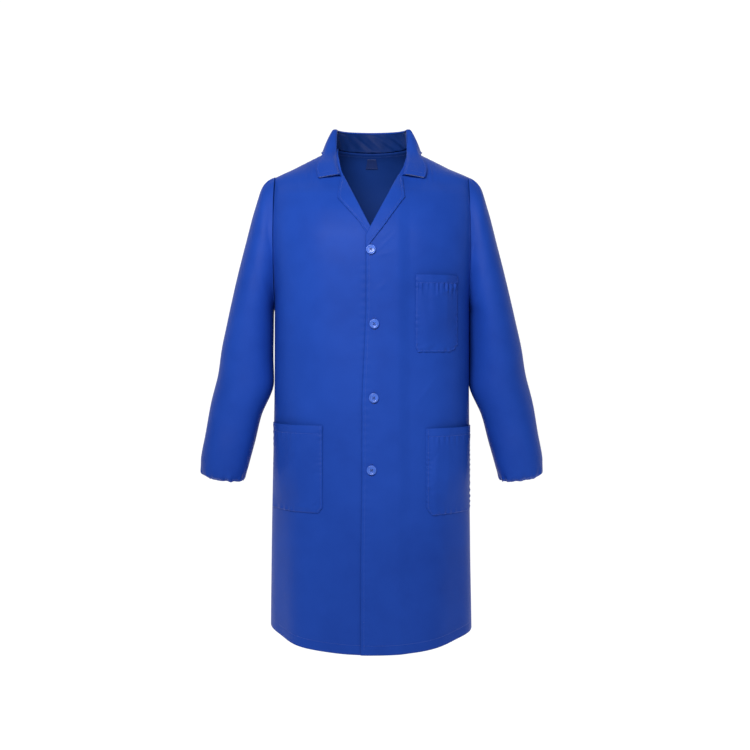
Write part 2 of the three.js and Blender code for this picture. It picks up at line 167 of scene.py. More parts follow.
def line_x(points, z):
    p = sorted(points, key=lambda q: q[1])
    return np.interp(z, [q[1] for q in p], [q[0] for q in p])


def hem_z(phi, z):
    return z + HEM_LIFT * np.sin(phi) ** 2 * smooth((-840 - z) / 150)


def wave(x, z, seed, count, length, stretch=1.0):
    """A gentle, repeatable mix of sine waves: each with its own direction."""
    rng = np.random.RandomState(seed)
    out = np.zeros(np.broadcast(x, z).shape)
    for _ in range(count):
        k = 2 * math.pi / (length * rng.uniform(0.7, 1.5))
        ang = rng.uniform(-0.5, 0.5)
        ph = rng.uniform(0, 6.28)
        out = out + np.sin(k * (x * math.cos(ang) + z * math.sin(ang) * stretch) + ph)
    return out / count ** 0.5


def bump_at(x, z, cx, cz, rx, rz, ang=0.0):
    c, s = math.cos(ang), math.sin(ang)
    dx, dz = x - cx, z - cz
    u, v = (dx * c + dz * s) / rx, (-dx * s + dz * c) / rz
    return np.exp(-(u * u + v * v))


def drape(phi, z):
    """How far the cloth of the trunk stands off its smooth shape."""
    phi, z = np.broadcast_arrays(np.asarray(phi, float), np.asarray(z, float))
    p = skin_at(phi, z)
    x = p[..., 0]
    front = np.cos(phi) > 0
    s = np.degrees(phi) * 3.3
    low = smooth((-470 - z) / 540)
    d = low * (2.2 * np.sin(np.radians(s * 1.02 * 2.0) + 0.6 + 0.0009 * z)
               + 1.5 * np.sin(np.radians(s * 3.1) + 2.1))
    d = d + 0.55 * wave(x, z, 5, 5, 170, 0.35) + 0.25 * wave(x, z, 8, 5, 70, 0.5)
    fr = np.where(front, 1.0, 0.0)
    # soft folds of the chest, from the shoulders and out of the first button
    d = d + fr * (1.1 * bump_at(x, z, 96, -205, 22, 50, 0.12) - 0.9 * bump_at(x, z, 66, -205, 20, 50, 0.12)
                  + 1.2 * bump_at(x, z, -95, -170, 30, 60, -0.2)
                  + 0.9 * bump_at(x, z, 28, -212, 18, 3.2, 0.75) - 0.8 * bump_at(x, z, 30, -205, 18, 3.0, 0.8)
                  + 0.7 * bump_at(x, z, 26, -236, 16, 3.4, 0.25) + 0.7 * bump_at(x, z, 20, -300, 14, 5, 0.7)
                  + 0.8 * bump_at(x, z, 108, -505, 30, 4.5, 0.9) - 0.9 * bump_at(x, z, 118, -640, 22, 3.5, 1.0))
    # small gathers under the shoulder seams beside the collar
    g = np.exp(-((np.abs(x) - 112) / 26) ** 2) * np.exp(-((z + 52) / 26) ** 2)
    d = d + 0.8 * g * np.sin(x * 2 * math.pi / 11.5 + 0.03 * z)
    # the front edge's stitching draws the cloth in
    e = np.exp(-((x + 12) / 9) ** 2) * fr * smooth((-235 - z) / 30)
    d = d + 0.35 * e * np.sin(z * 2 * math.pi / 17.0 + 0.8 * np.sin(z / 31.0))
    return d


def trunk(phi, z, off):
    n = normal_at(phi, z)
    p = skin_at(phi, z)
    p[..., 2] = hem_z(phi, z)
    return p + n * (np.asarray(off, float) + drape(phi, z))[..., None], n


def on_front(x, z, off):
    return trunk(phi_at(x, z), z, off)


# ------------------------------------------------------------- mesh helpers
def place(name, V, F, mats, midx=None, uv=None, flat=False):
    me = bpy.data.meshes.new(name)
    me.from_pydata((np.asarray(V) * MM).tolist(), [], F if isinstance(F, list) else F.tolist())
    for m in mats:
        me.materials.append(m)
    if midx is not None:
        me.polygons.foreach_set("material_index", np.asarray(midx, np.int32))
    if uv is not None:
        layer = me.uv_layers.new(name="weave")
        idx = np.zeros(len(me.loops), np.int32)
        me.loops.foreach_get("vertex_index", idx)
        layer.data.foreach_set("uv", (np.asarray(uv)[idx] * MM).astype(np.float32).ravel())
    if not flat:
        me.shade_smooth()
    me.update()
    o = bpy.data.objects.new(name, me)
    scene.collection.objects.link(o)
    return o


def grid_normals(P, closed=False, out=None):
    if closed:
        Q = np.concatenate([P[:, -2:-1], P, P[:, 1:2]], 1) if np.allclose(P[:, 0], P[:, -1]) else np.concatenate([P[:, -1:], P, P[:, :1]], 1)
        du = (Q[:, 2:] - Q[:, :-2])
    else:
        du = np.gradient(P, axis=1)
    dv = np.gradient(P, axis=0)
    n = unit(np.cross(du, dv))
    if out is not None:
        s = np.sign(np.sum(n * out, -1, keepdims=True))
        n = n * (1 if s.mean() >= 0 else -1)
    return n


def lengths(P, closed=False):
    du = np.linalg.norm(np.diff(P, axis=1), axis=-1)
    u = np.concatenate([np.zeros((P.shape[0], 1)), np.cumsum(du, 1)], 1)
    dv = np.linalg.norm(np.diff(P, axis=0), axis=-1)
    v = np.concatenate([np.zeros((1, P.shape[1])), np.cumsum(dv, 0)], 0)
    return u, v


CUT = {}


def cloth(name, P, thick=0.8, closed=False, outward=None, mats=None, uv_shift=(0, 0), center_u=False):
    """A sheet of cloth as a thin closed solid: P is its outer face as a grid of
    points, thick its thickness inward, one number or one for each point."""
    nv, nu = P.shape[:2]
    N = grid_normals(P, closed, outward)
    T = np.broadcast_to(np.asarray(thick, float), (nv, nu))[..., None]
    inner = P - N * T
    V = np.concatenate([P.reshape(-1, 3), inner.reshape(-1, 3)])
    u, v = lengths(P)
    if center_u:
        u = u - u[:, u.shape[1] // 2][:, None]
    uv = np.stack([u + uv_shift[0], np.broadcast_to(v, u.shape) + uv_shift[1]], -1).reshape(-1, 2)
    uv = np.concatenate([uv, uv + np.array([0.37, 0.19])])
    i, j = np.meshgrid(np.arange(nv - 1), np.arange(nu if closed else nu - 1), indexing="ij")
    j2 = (j + 1) % nu
    a, b, c, d = i * nu + j, i * nu + j2, (i + 1) * nu + j2, (i + 1) * nu + j
    outer = np.stack([a, b, c, d], -1).reshape(-1, 4)
    face_n = np.cross(P[0, 1] - P[0, 0], P[1, 0] - P[0, 0])
    probe = np.cross(P[nv // 2, nu // 2 + 1] - P[nv // 2, nu // 2], P[nv // 2 + 1, nu // 2] - P[nv // 2, nu // 2])
    if np.dot(probe, N[nv // 2, nu // 2]) < 0:
        outer = outer[:, ::-1]
    flip = outer[:, ::-1] + nv * nu
    k = nv * nu
    sides = []

    def strip(idx):
        idx = np.asarray(idx)
        s = np.stack([idx[:-1], idx[1:], idx[1:] + k, idx[:-1] + k], -1)
        sides.append(s)

    edges = [np.arange(nu), (nv - 1) * nu + np.arange(nu)]
    if closed:
        edges = [np.append(e, e[0]) for e in edges]
    else:
        edges += [np.arange(nv) * nu, np.arange(nv) * nu + nu - 1]
    for e in edges:
        strip(e)
    S = np.concatenate(sides)
    F = np.concatenate([outer, flip, S])
    midx = np.concatenate([np.zeros(len(outer)), np.ones(len(flip)), np.zeros(len(S))]) if mats and len(mats) > 1 else None
    o = place(name, V, F, mats or [COAT], midx, uv)
    bm = bmesh.new()
    bm.from_mesh(o.data)
    bmesh.ops.recalc_face_normals(bm, faces=bm.faces)
    bm.to_mesh(o.data)
    bm.free()
    area = np.linalg.norm(np.cross(P[1:, :-1] - P[:-1, :-1], P[:-1, 1:] - P[:-1, :-1]), axis=-1).sum() * 1e-6
    if closed:
        area += np.linalg.norm(np.cross(P[1:, -1] - P[:-1, -1], P[:-1, 0] - P[:-1, -1]), axis=-1).sum() * 1e-6
    w = (u.max(1) - u.min(1)).max() + (np.linalg.norm(P[:, 0] - P[:, -1], axis=-1).max() if closed else 0)
    l = (v.max(0) - v.min(0)).max()
    CUT[name] = (float(w) * MM, float(l) * MM, float(area))
    return o


def declare(o):
    w, l, area = CUT[o.name]
    w, l = math.ceil(w * 200) / 200, math.ceil(l * 200) / 200
    area = min(max(area, 0.31 * w * l), w * l)


def tubes(paths, radius, sides=6):
    """Joined little tubes along short polylines, ends tapered."""
    V, F = [], []
    for pts in paths:
        pts = np.asarray(pts, float)
        t = unit(np.gradient(pts, axis=0))
        ref = np.array([0, 0, 1.0]) if abs(t[0][2]) < 0.8 else np.array([1.0, 0, 0])
        b = unit(np.cross(t, ref))
        c = np.cross(t, b)
        base = len(V)
        m = len(pts)
        for q in range(m):
            r = radius * (0.45 if q in (0, m - 1) else 1.0)
            for k in range(sides):
                g = 2 * math.pi * k / sides
                V.append(pts[q] + b[q] * r * math.cos(g) + c[q] * r * math.sin(g))
        for q in range(m - 1):
            for k in range(sides):
                k2 = (k + 1) % sides
                F.append([base + q * sides + k, base + q * sides + k2, base + (q + 1) * sides + k2, base + (q + 1) * sides + k])
        F.append([base + k for k in range(sides)][::-1])
        F.append([base + (m - 1) * sides + k for k in range(sides)])
    return V, F


def stitch_runs(P, N, step=3.0, length=2.35, lift=0.12, dip=0.28):
    """Stitches along a line of points on a surface: each goes in at both ends."""
    P, N = np.asarray(P, float), np.asarray(N, float)
    L = np.concatenate([[0], np.cumsum(np.linalg.norm(np.diff(P, axis=0), axis=-1))])
    out = []
    for s in np.arange(0.8, L[-1] - length, step):
        q = s + np.array([0, 0.25, 0.5, 0.75, 1.0]) * length
        p = np.stack([np.interp(q, L, P[:, k]) for k in range(3)], -1)
        n = unit(np.stack([np.interp(q, L, N[:, k]) for k in range(3)], -1))
        h = np.array([-dip, lift * 0.6, lift, lift * 0.6, -dip])
        out.append(p + n * h[:, None])
    return out


def threads(name, runs, mat=None, radius=0.3):
    V, F = tubes(runs, radius)
    o = place(name, V, F, [mat or THREAD], None, np.asarray(V)[:, [0, 2]])
    return o


# --------------------------------------------------------------- materials
def material(name):
    m = bpy.data.materials.new(name)
    m.use_nodes = True
    nt = m.node_tree
    return m, nt, nt.nodes["Principled BSDF"]


def woven(name, light, mid, dark, rough, sheen, tint, period=0.00052, depth=0.00007, spec=0.4, slub=0.35, patch=3.2):
    """A woven cloth: warp and weft, slubs, uneven dye and a satin sheen."""
    m, nt, bsdf = material(name)
    N, L = nt.nodes, nt.links
    uv = N.new("ShaderNodeUVMap")
    uv.uv_map = "weave"
    sep = N.new("ShaderNodeSeparateXYZ")
    L.new(uv.outputs["UV"], sep.inputs[0])

    def math_node(op, a, b=None):
        n = N.new("ShaderNodeMath")
        n.operation = op
        for i, q in enumerate((a, b)):
            if q is None:
                continue
            if isinstance(q, (int, float)):
                n.inputs[i].default_value = q
            else:
                L.new(q, n.inputs[i])
        return n.outputs[0]

    k = 2 * math.pi / period
    sx = math_node("SINE", math_node("MULTIPLY", sep.outputs[0], k))
    sy = math_node("SINE", math_node("MULTIPLY", sep.outputs[1], k))
    cross = math_node("MULTIPLY", sx, sy)
    warp = math_node("ABSOLUTE", math_node("SINE", math_node("MULTIPLY", sep.outputs[0], k * 0.5)))
    over = math_node("ADD", math_node("MULTIPLY", cross, 0.5), math_node("MULTIPLY", warp, 0.5))
    # slubs: thicker threads here and there
    co = N.new("ShaderNodeMapping")
    co.inputs["Scale"].default_value = (2600, 60, 1)
    L.new(uv.outputs["UV"], co.inputs[0])
    sl = N.new("ShaderNodeTexNoise")
    sl.inputs["Scale"].default_value = 1.0
    sl.inputs["Detail"].default_value = 2.0
    L.new(co.outputs[0], sl.inputs[0])
    # uneven dye and pressing, at hand and finger scale
    tc = N.new("ShaderNodeTexCoord")
    big = N.new("ShaderNodeTexNoise")
    big.inputs["Scale"].default_value = patch
    big.inputs["Detail"].default_value = 3.0
    L.new(tc.outputs["Object"], big.inputs[0])
    mid_noise = N.new("ShaderNodeTexNoise")
    mid_noise.inputs["Scale"].default_value = 26.0
    mid_noise.inputs["Detail"].default_value = 4.0
    L.new(tc.outputs["Object"], mid_noise.inputs[0])
    height = math_node("ADD", math_node("MULTIPLY", over, 1.0), math_node("MULTIPLY", sl.outputs[0], slub))
    height = math_node("ADD", height, math_node("MULTIPLY", mid_noise.outputs[0], 1.4))
    bump = N.new("ShaderNodeBump")
    bump.inputs["Strength"].default_value = 0.55
    bump.inputs["Distance"].default_value = depth
    L.new(height, bump.inputs["Height"])
    L.new(bump.outputs[0], bsdf.inputs["Normal"])
    ramp = N.new("ShaderNodeValToRGB")
    ramp.color_ramp.elements[0].position = 0.30
    ramp.color_ramp.elements[0].color = (*dark, 1)
    ramp.color_ramp.elements[1].position = 0.72
    ramp.color_ramp.elements[1].color = (*light, 1)
    e = ramp.color_ramp.elements.new(0.5)
    e.color = (*mid, 1)
    f = math_node("ADD", math_node("MULTIPLY", big.outputs[0], 0.62), math_node("MULTIPLY", mid_noise.outputs[0], 0.22))
    f = math_node("ADD", f, math_node("MULTIPLY", over, 0.055))
    f = math_node("ADD", f, math_node("MULTIPLY", sl.outputs[0], 0.10))
    L.new(f, ramp.inputs[0])
    L.new(ramp.outputs[0], bsdf.inputs["Base Color"])
    r = math_node("ADD", math_node("MULTIPLY", mid_noise.outputs[0], 0.10), rough - 0.05)
    L.new(r, bsdf.inputs["Roughness"])
    bsdf.inputs["Specular IOR Level"].default_value = spec
    bsdf.inputs["Sheen Weight"].default_value = sheen
    bsdf.inputs["Sheen Roughness"].default_value = 0.45
    bsdf.inputs["Sheen Tint"].default_value = (*tint, 1)
    return m


def srgb(r, g, b):
    f = lambda c: (c / 255 / 12.92) if c <= 10 else ((c / 255 + 0.055) / 1.055) ** 2.4
    return (f(r), f(g), f(b))


COAT = woven("coat_cloth_outside", srgb(34, 76, 178), srgb(30, 70, 168), srgb(26, 63, 156), 0.47, 0.0, (0.4, 0.55, 1.0), spec=0.08)
# the inside face of the same cloth, painted darker as shade, and rougher than the outside
INSIDE_SHADED = woven("coat_cloth_inside_painted_shade", srgb(24, 62, 142), srgb(20, 56, 132), srgb(17, 49, 120), 0.62, 0.03, (0.4, 0.55, 1.0), spec=0.10)
# the collar stand's face towards the neck: the same cloth, painted much darker as the shade inside the back neck
STAND_SHADED = woven("collar_stand_painted_shade", srgb(16, 52, 122), srgb(12, 44, 108), srgb(7, 32, 84), 0.5, 0.02, (0.4, 0.55, 1.0), spec=0.10)
FACING = woven("facing_cloth", srgb(32, 72, 170), srgb(28, 66, 160), srgb(24, 59, 148), 0.5, 0.0, (0.4, 0.55, 1.0), spec=0.08)
FUSING = woven("interfacing_cloth", srgb(150, 160, 178), srgb(136, 147, 168), srgb(120, 131, 152), 0.85, 0.05, (1, 1, 1), period=0.0011, depth=0.00012, slub=0.8)
ELASTIC = woven("elastic_web", srgb(235, 235, 230), srgb(222, 222, 216), srgb(205, 205, 200), 0.75, 0.1, (1, 1, 1), period=0.0014, depth=0.0002)
LABEL = woven("label_cloth", srgb(17, 50, 120), srgb(14, 44, 110), srgb(11, 38, 100), 0.6, 0.2, (0.7, 0.75, 1.0), period=0.0004)


def thread_material(name, colour, rough=0.55):
    m, nt, bsdf = material(name)
    N, L = nt.nodes, nt.links
    tc = N.new("ShaderNodeTexCoord")
    wv = N.new("ShaderNodeTexWave")
    wv.wave_type = "BANDS"
    wv.bands_direction = "DIAGONAL"
    wv.inputs["Scale"].default_value = 900.0
    wv.inputs["Distortion"].default_value = 1.5
    L.new(tc.outputs["Object"], wv.inputs[0])
    ramp = N.new("ShaderNodeValToRGB")
    ramp.color_ramp.elements[0].color = (*[c * 0.72 for c in colour], 1)
    ramp.color_ramp.elements[1].color = (*[min(1, c * 1.18) for c in colour], 1)
    L.new(wv.outputs[0], ramp.inputs[0])
    L.new(ramp.outputs[0], bsdf.inputs["Base Color"])
    bump = N.new("ShaderNodeBump")
    bump.inputs["Distance"].default_value = 0.00012
    bump.inputs["Strength"].default_value = 0.6
    L.new(wv.outputs[0], bump.inputs["Height"])
    L.new(bump.outputs[0], bsdf.inputs["Normal"])
    bsdf.inputs["Roughness"].default_value = rough
    bsdf.inputs["Sheen Weight"].default_value = 0.3
    return m


THREAD = thread_material("sewing_thread", srgb(38, 78, 180))
BUTTON_THREAD = thread_material("button_thread", srgb(34, 66, 150))
LABEL_THREAD = thread_material("label_thread", srgb(60, 92, 170))


def plastic(name, base):
    m, nt, bsdf = material(name)
    N, L = nt.nodes, nt.links
    tc = N.new("ShaderNodeTexCoord")
    n1 = N.new("ShaderNodeTexNoise")
    n1.inputs["Scale"].default_value = 140.0
    n1.inputs["Detail"].default_value = 5.0
    n1.inputs["Distortion"].default_value = 2.0
    L.new(tc.outputs["Object"], n1.inputs[0])
    ramp = N.new("ShaderNodeValToRGB")
    ramp.color_ramp.elements[0].position = 0.32
    ramp.color_ramp.elements[0].color = (*[c * 0.8 for c in base], 1)
    ramp.color_ramp.elements[1].position = 0.7
    ramp.color_ramp.elements[1].color = (*[min(1, c * 1.15 + 0.01) for c in base], 1)
    L.new(n1.outputs[0], ramp.inputs[0])
    L.new(ramp.outputs[0], bsdf.inputs["Base Color"])
    n2 = N.new("ShaderNodeTexNoise")
    n2.inputs["Scale"].default_value = 2400.0
    L.new(tc.outputs["Object"], n2.inputs[0])
    bump = N.new("ShaderNodeBump")
    bump.inputs["Distance"].default_value = 0.00002
    bump.inputs["Strength"].default_value = 0.4
    L.new(n2.outputs[0], bump.inputs["Height"])
    L.new(bump.outputs[0], bsdf.inputs["Normal"])
    bsdf.inputs["Roughness"].default_value = 0.24
    bsdf.inputs["Coat Weight"].default_value = 0.25
    bsdf.inputs["Coat Roughness"].default_value = 0.12
    return m


BUTTON = plastic("button_plastic", srgb(66, 110, 214))

# ------------------------------------------------------------------- panels
def rows_between(z0, z1, step, extra=()):
    n = int(math.ceil((z1 - z0) / step)) + 1
    return np.unique(np.concatenate([np.linspace(z0, z1, n), np.asarray(extra, float)]))


def side_phi(z, back=False):
    a, yr, bf, bb, n = section(z)
    cut = (z > ARMHOLE_BOTTOM) & (z < ARMHOLE_TOP) & (a > ARMHOLE_X)
    s = np.where(cut, np.minimum(ARMHOLE_X / a, 1.0) ** (n / 2), 1.0)
    p = np.arcsin(np.clip(s, 0, 1))
    return math.pi - p if back else p


def panel_phis(z, lo, hi, nu, power=1.0):
    """Angles evenly spaced along each row's length between two edges."""
    out = np.zeros((len(z), nu))
    for i, zz in enumerate(z):
        d = np.linspace(lo[i], hi[i], 500)
        q = skin_at(d, zz)
        L = np.concatenate([[0], np.cumsum(np.linalg.norm(np.diff(q, axis=0), axis=-1))])
        out[i] = np.interp(np.linspace(0, 1, nu) ** power * L[-1], L, d)
    return out


def edge_turn(P, N, dist, depth, width):
    """The cloth turns in towards a seam over the last few millimetres."""
    k = np.clip(1 - dist / width, 0, 1) ** 2
    return P - N * (depth * k)[..., None]


def away(P, edge):
    """Each point's distance from the row's edge point."""
    return np.linalg.norm(P - edge, axis=-1)


Z = rows_between(HEM_Z, -2.0, 3.0)


def front_panel(side):
    if side > 0:
        xe = np.where(Z > -199, line_x(LEFT_NECK, Z), line_x(FRONT_EDGE, Z))
    else:
        xe = np.where(Z > -181.4, line_x(RIGHT_NECK, Z), UNDERLAP_X)
        k = smooth((-181.4 - Z) / 40.0)
        xe = np.where(Z > -181.4, xe, -1.8 + (UNDERLAP_X + 1.8) * k)
    lo, hi = phi_at(xe, Z), side * side_phi(Z)
    phis = panel_phis(Z, lo, hi, 118)
    zz = np.broadcast_to(Z[:, None], phis.shape)
    off = rise(skin_at(phis, zz)[..., 0]) if side > 0 else np.zeros(phis.shape)
    P, N = trunk(phis, zz, off)
    # seams: side and armhole turn in
    P = edge_turn(P, N, away(P, P[:, -1:]), 0.5, 2.0)
    top = np.abs(P[..., 2] - P[-1:, :, 2])
    # the folded hem is thicker, inside
    de = away(P, P[:, :1])
    dh = np.abs(P[..., 2] - P[:1, :, 2])
    thick = 0.8 + 0.7 * smooth((19 - dh) / 1.5)
    if side > 0:
        below = smooth((-200 - zz) / 10)
        # a rounded front edge, pressed flat along the topstitching
        P = P - N * (1.0 * np.clip(1 - de / 1.6, 0, 1) ** 2 * below)[..., None]
        P = P - N * (0.35 * np.exp(-((de - 6.5) / 1.3) ** 2) * below)[..., None]
    P = P - N * (0.3 * np.exp(-((dh - 18) / 1.4) ** 2))[..., None]
    return phis, P, N, thick


phis_l, P_l, N_l, thick_l = front_panel(1)
left_front = cloth("left_front_cloth", P_l, thick_l, outward=N_l, mats=[COAT, INSIDE_SHADED])
phis_r, P_r, N_r, thick_r = front_panel(-1)
right_front = cloth("right_front_cloth", P_r, thick_r, outward=N_r, mats=[COAT, INSIDE_SHADED], uv_shift=(400, 0))

Zb = rows_between(HEM_Z, -0.5, 3.0)
lo_b, hi_b = side_phi(Zb, True), 2 * math.pi - side_phi(Zb, True)
phis_b = panel_phis(Zb, lo_b, hi_b, 226)
zb = np.broadcast_to(Zb[:, None], phis_b.shape)
P_b, N_b = trunk(phis_b, zb, 0.0)
d_side = np.minimum(away(P_b, P_b[:, :1]), away(P_b, P_b[:, -1:]))
P_b = edge_turn(P_b, N_b, d_side, 0.5, 2.0)
dh_b = np.abs(P_b[..., 2] - P_b[:1, :, 2])
P_b = P_b - N_b * (0.3 * np.exp(-((dh_b - 18) / 1.4) ** 2))[..., None]
back = cloth("back_panel_cloth", P_b, 0.8 + 0.7 * smooth((19 - dh_b) / 1.5), outward=N_b, mats=[COAT, INSIDE_SHADED], uv_shift=(900, 0))


# ------------------------------------------------------------------ sleeves
def sleeve_at(side, s, psi, off):
    s, psi = np.broadcast_arrays(np.asarray(s, float), np.asarray(psi, float))
    ox, oz, ix, iz, d, cy = [pchip(np.arange(13), SLEEVE[:, k], s) for k in range(6)]
    cx, cz = (ox + ix) / 2, (oz + iz) / 2
    h = np.hypot(ox - ix, oz - iz) / 2
    ex, ez = (ox - ix) / (2 * h), (oz - iz) / (2 * h)
    k = (h + off) * signed(np.cos(psi), 0.92)
    return np.stack([side * (cx + ex * k), cy + (d + off) * signed(np.sin(psi), 0.92), cz + ez * k], -1)


def sleeve_folds(s, psi, side):
    d = 0.9 * wave(psi * 60 * side, s * 60, 21 if side > 0 else 24, 4, 120, 0.7)
    e = smooth((s - 5.5) / 2.0) * smooth((11.2 - s) / 3.0)
    d = d + e * (1.6 * np.sin(2.2 * s + 2.0 * np.cos(psi - 0.7) + 0.5) + 0.9 * np.sin(3.6 * s - 1.6 * np.cos(psi + 0.4)))
    g = smooth((s - 9.9) / 1.9)
    d = d + g * (1.5 * np.sin(11 * psi + 0.6 * np.sin(3 * psi) + side) + 0.9 * np.sin(19 * psi + 1.3))
    return d * smooth(s / 0.6 + 0.1)


S = np.unique(np.concatenate([np.linspace(0, 1, 22), np.linspace(1, 9.6, 150), np.linspace(9.6, 12, 56)]))
PSI = np.linspace(0, 2 * math.pi, 129)[:-1]


def sleeve(side, name):
    s, psi = np.meshgrid(S, PSI, indexing="ij")
    P = sleeve_at(side, s, psi, 0.0)
    c = sleeve_at(side, s, psi, -20.0)
    N = unit(P - c)
    f = sleeve_folds(s, psi, side)
    seam = np.clip(1 - s / 0.16, 0, 1) ** 2
    P = P + N * (f - 0.3 * seam)[..., None]
    P[..., 0] -= side * 1.3 * seam
    # the sleeve's head is eased up to the shoulder
    P[..., 2] += 4.4 * (1 - smooth(s / 1.6)) * np.clip(np.cos(psi), 0, 1) ** 1.5
    # where the armhole is wider than the sleeve's round head, the head follows it
    ax, yr, bf, bb, n = section(np.minimum(P[..., 2], ARMHOLE_TOP - 5))
    c0 = (1 - np.clip(ARMHOLE_X / ax, 0, 0.9999) ** n) ** (1 / n)
    w = (1 - smooth(s / 1.7)) * smooth(np.abs(np.sin(psi)) / 0.15) * smooth((P[..., 2] + 335) / 50)
    back_y, front_y = yr + bb * c0 + 1.2, yr - bf * c0 - 1.2
    P[..., 1] += w * np.where(np.sin(psi) > 0, np.maximum(back_y - P[..., 1], 0), np.minimum(front_y - P[..., 1], 0))
    # the gathered end: small scallops along the opening
    sc = smooth((s - 11.2) / 0.8) * (1.3 * np.abs(np.sin(4.5 * psi + 0.4 * side)) + 0.5 * np.sin(14 * psi + 1.0)) + 1.2 * smooth((s - 11.2) / 0.8)
    P[..., 2] += sc
    o = cloth(name, P, 0.8, closed=True, outward=N, mats=[COAT, INSIDE_SHADED], uv_shift=(1500 + 300 * side, 0))
    return o, P, N


left_sleeve, PS_l, NS_l = sleeve(1, "left_sleeve_cloth")
right_sleeve, PS_r, NS_r = sleeve(-1, "right_sleeve_cloth")


def cuff_ring(side, name, s0, s1, off, thick, mats, rows=14, grow=1.0):
    s, psi = np.meshgrid(np.linspace(s0, s1, rows), PSI, indexing="ij")
    P = sleeve_at(side, s, psi, off)
    N = unit(P - sleeve_at(side, s, psi, off - 15))
    P = P + N * (sleeve_folds(s, psi, side) * grow)[..., None]
    return cloth(name, P, thick, closed=True, outward=N, mats=mats)


cuffs = {}
for side, nm in ((1, "left"), (-1, "right")):
    cuffs[nm + "_elastic"] = cuff_ring(side, nm + "_cuff_elastic_band", 11.0, 11.5, -2.7, 0.9, [ELASTIC], 12)
    cuffs[nm + "_casing"] = cuff_ring(side, nm + "_cuff_casing_cloth", 10.5, 11.5, -5.4, 0.8, [INSIDE_SHADED], 16)


# ------------------------------------------------------------------ pockets
def pocket(p, name, bulge, mirror, cut_in, cut_out, seed):
    """A patch pocket: sewn flat round three sides, its mouth standing off a
    little, a folded hem on top with small gathers under it."""
    nv, nu = 96, 64
    v = np.linspace(0, 1, nv)
    z = p["z0"] + (p["z1"] - p["z0"]) * v
    x0 = p["x0"] + np.maximum(0, cut_in[0] * (1 - (z - p["z0"]) / cut_in[1])) if cut_in[1] else p["x0"] + 0 * z
    x1 = p["x1"] - (np.maximum(0, cut_out[0] * (1 - (z - p["z0"]) / cut_out[1])) if cut_out[1] else 0 * z)
    a0, a1 = phi_at(x0, z), phi_at(x1, z)
    phis = panel_phis(z, a0, a1, nu)
    zz = np.broadcast_to(z[:, None], phis.shape)
    u = np.broadcast_to(np.linspace(0, 1, nu), phis.shape)
    x = skin_at(phis, zz)[..., 0]
    w, h = p["x1"] - p["x0"], p["z1"] - p["z0"]
    du = np.minimum(u, 1 - u) * w
    dz = (zz - p["z0"])
    dt = (p["z1"] - zz)
    near = np.minimum(du, dz)
    lift = bulge * np.minimum(1, np.sin(np.pi * u) * 1.15) ** 1.1 * smooth(dz / (0.55 * h))
    # puckers along the sewn sides and bottom
    rng = np.random.RandomState(seed)
    patchy = 0.45 + 0.55 * np.sin(zz / 19.0 + seed) * np.sin(zz / 31.0 + 2.0 * seed)
    side_p = np.exp(-(du / 6.0) ** 2) * np.sin(zz * 2 * math.pi / 11.4 + 2.0 * np.sin(zz / 17) + 0.09 * du + np.where(u > 0.5, 1.3, 0)) * smooth(dt / 12) * patchy
    bot_p = np.exp(-(dz / 8.0) ** 2) * np.sin(x * 2 * math.pi / 13.5 + 1.6 * np.sin(x / 13)) * (0.6 + 0.4 * np.sin(x / 15.0 + seed))
    gather = np.exp(-((dt - 19) / (9 + 7 * np.sin(x / 9.0) ** 2)) ** 2) * smooth((dt - 15.5) / 2.0) * (0.75 + 0.4 * np.sin(x / 14.0 + seed)) * (np.sin(x * 2 * math.pi / 9.6 + 0.5 * np.sin(x / 11)) + 0.5 * np.sin(x * 2 * math.pi / 6.1 + 2))
    off = 1.6 + lift + SIDES[name] * side_p + 1.1 * bot_p + RELIEF[name] * gather * np.clip(du / 6, 0, 1)
    off = off + 0.5 * wave(x, zz, seed, 4, 60, 0.8) * smooth(near / 14)
    off = off + FOLDS[name](x, zz)
    off = np.maximum(off, 0.95)
    # groove under the stitched hem, and rounded edges
    off = off - 0.55 * np.exp(-((dt - 15.5) / 1.0) ** 2) + 0.55 * smooth((15.5 - dt) / 1.2)
    off = off - 0.5 * np.clip(1 - near / 1.3, 0, 1) ** 2
    base = rise(x) if p["x0"] > 0 else 0.0
    P, N = trunk(phis, zz, off + base)
    thick = 0.8 + 0.75 * smooth((15 - dt) / 1.0)
    thick = np.minimum(thick, off * 0.9)
    o = cloth(name, P, thick, outward=N, mats=[COAT, INSIDE_SHADED], uv_shift=(2200 + seed * 50, 0))
    runs = []
    j = [int(round(nu * 2.6 / w)), int(round(nu * 1.0)) - 1 - int(round(nu * 2.6 / w))]
    for jj in j:
        runs += stitch_runs(P[2:, jj], N[2:, jj], 2.9, 2.2)
    i0 = int(round(nv * 2.4 / h))
    runs += stitch_runs(P[i0, j[0]:j[1]], N[i0, j[0]:j[1]], 2.9, 2.2)
    it = nv - 1 - int(round(nv * 15.5 / h))
    runs += stitch_runs(P[it, j[0]:j[1]], N[it, j[0]:j[1]], 2.9, 2.2)
    st = threads(name.replace("_cloth", "") + "_topstitch", runs)
    return o, st


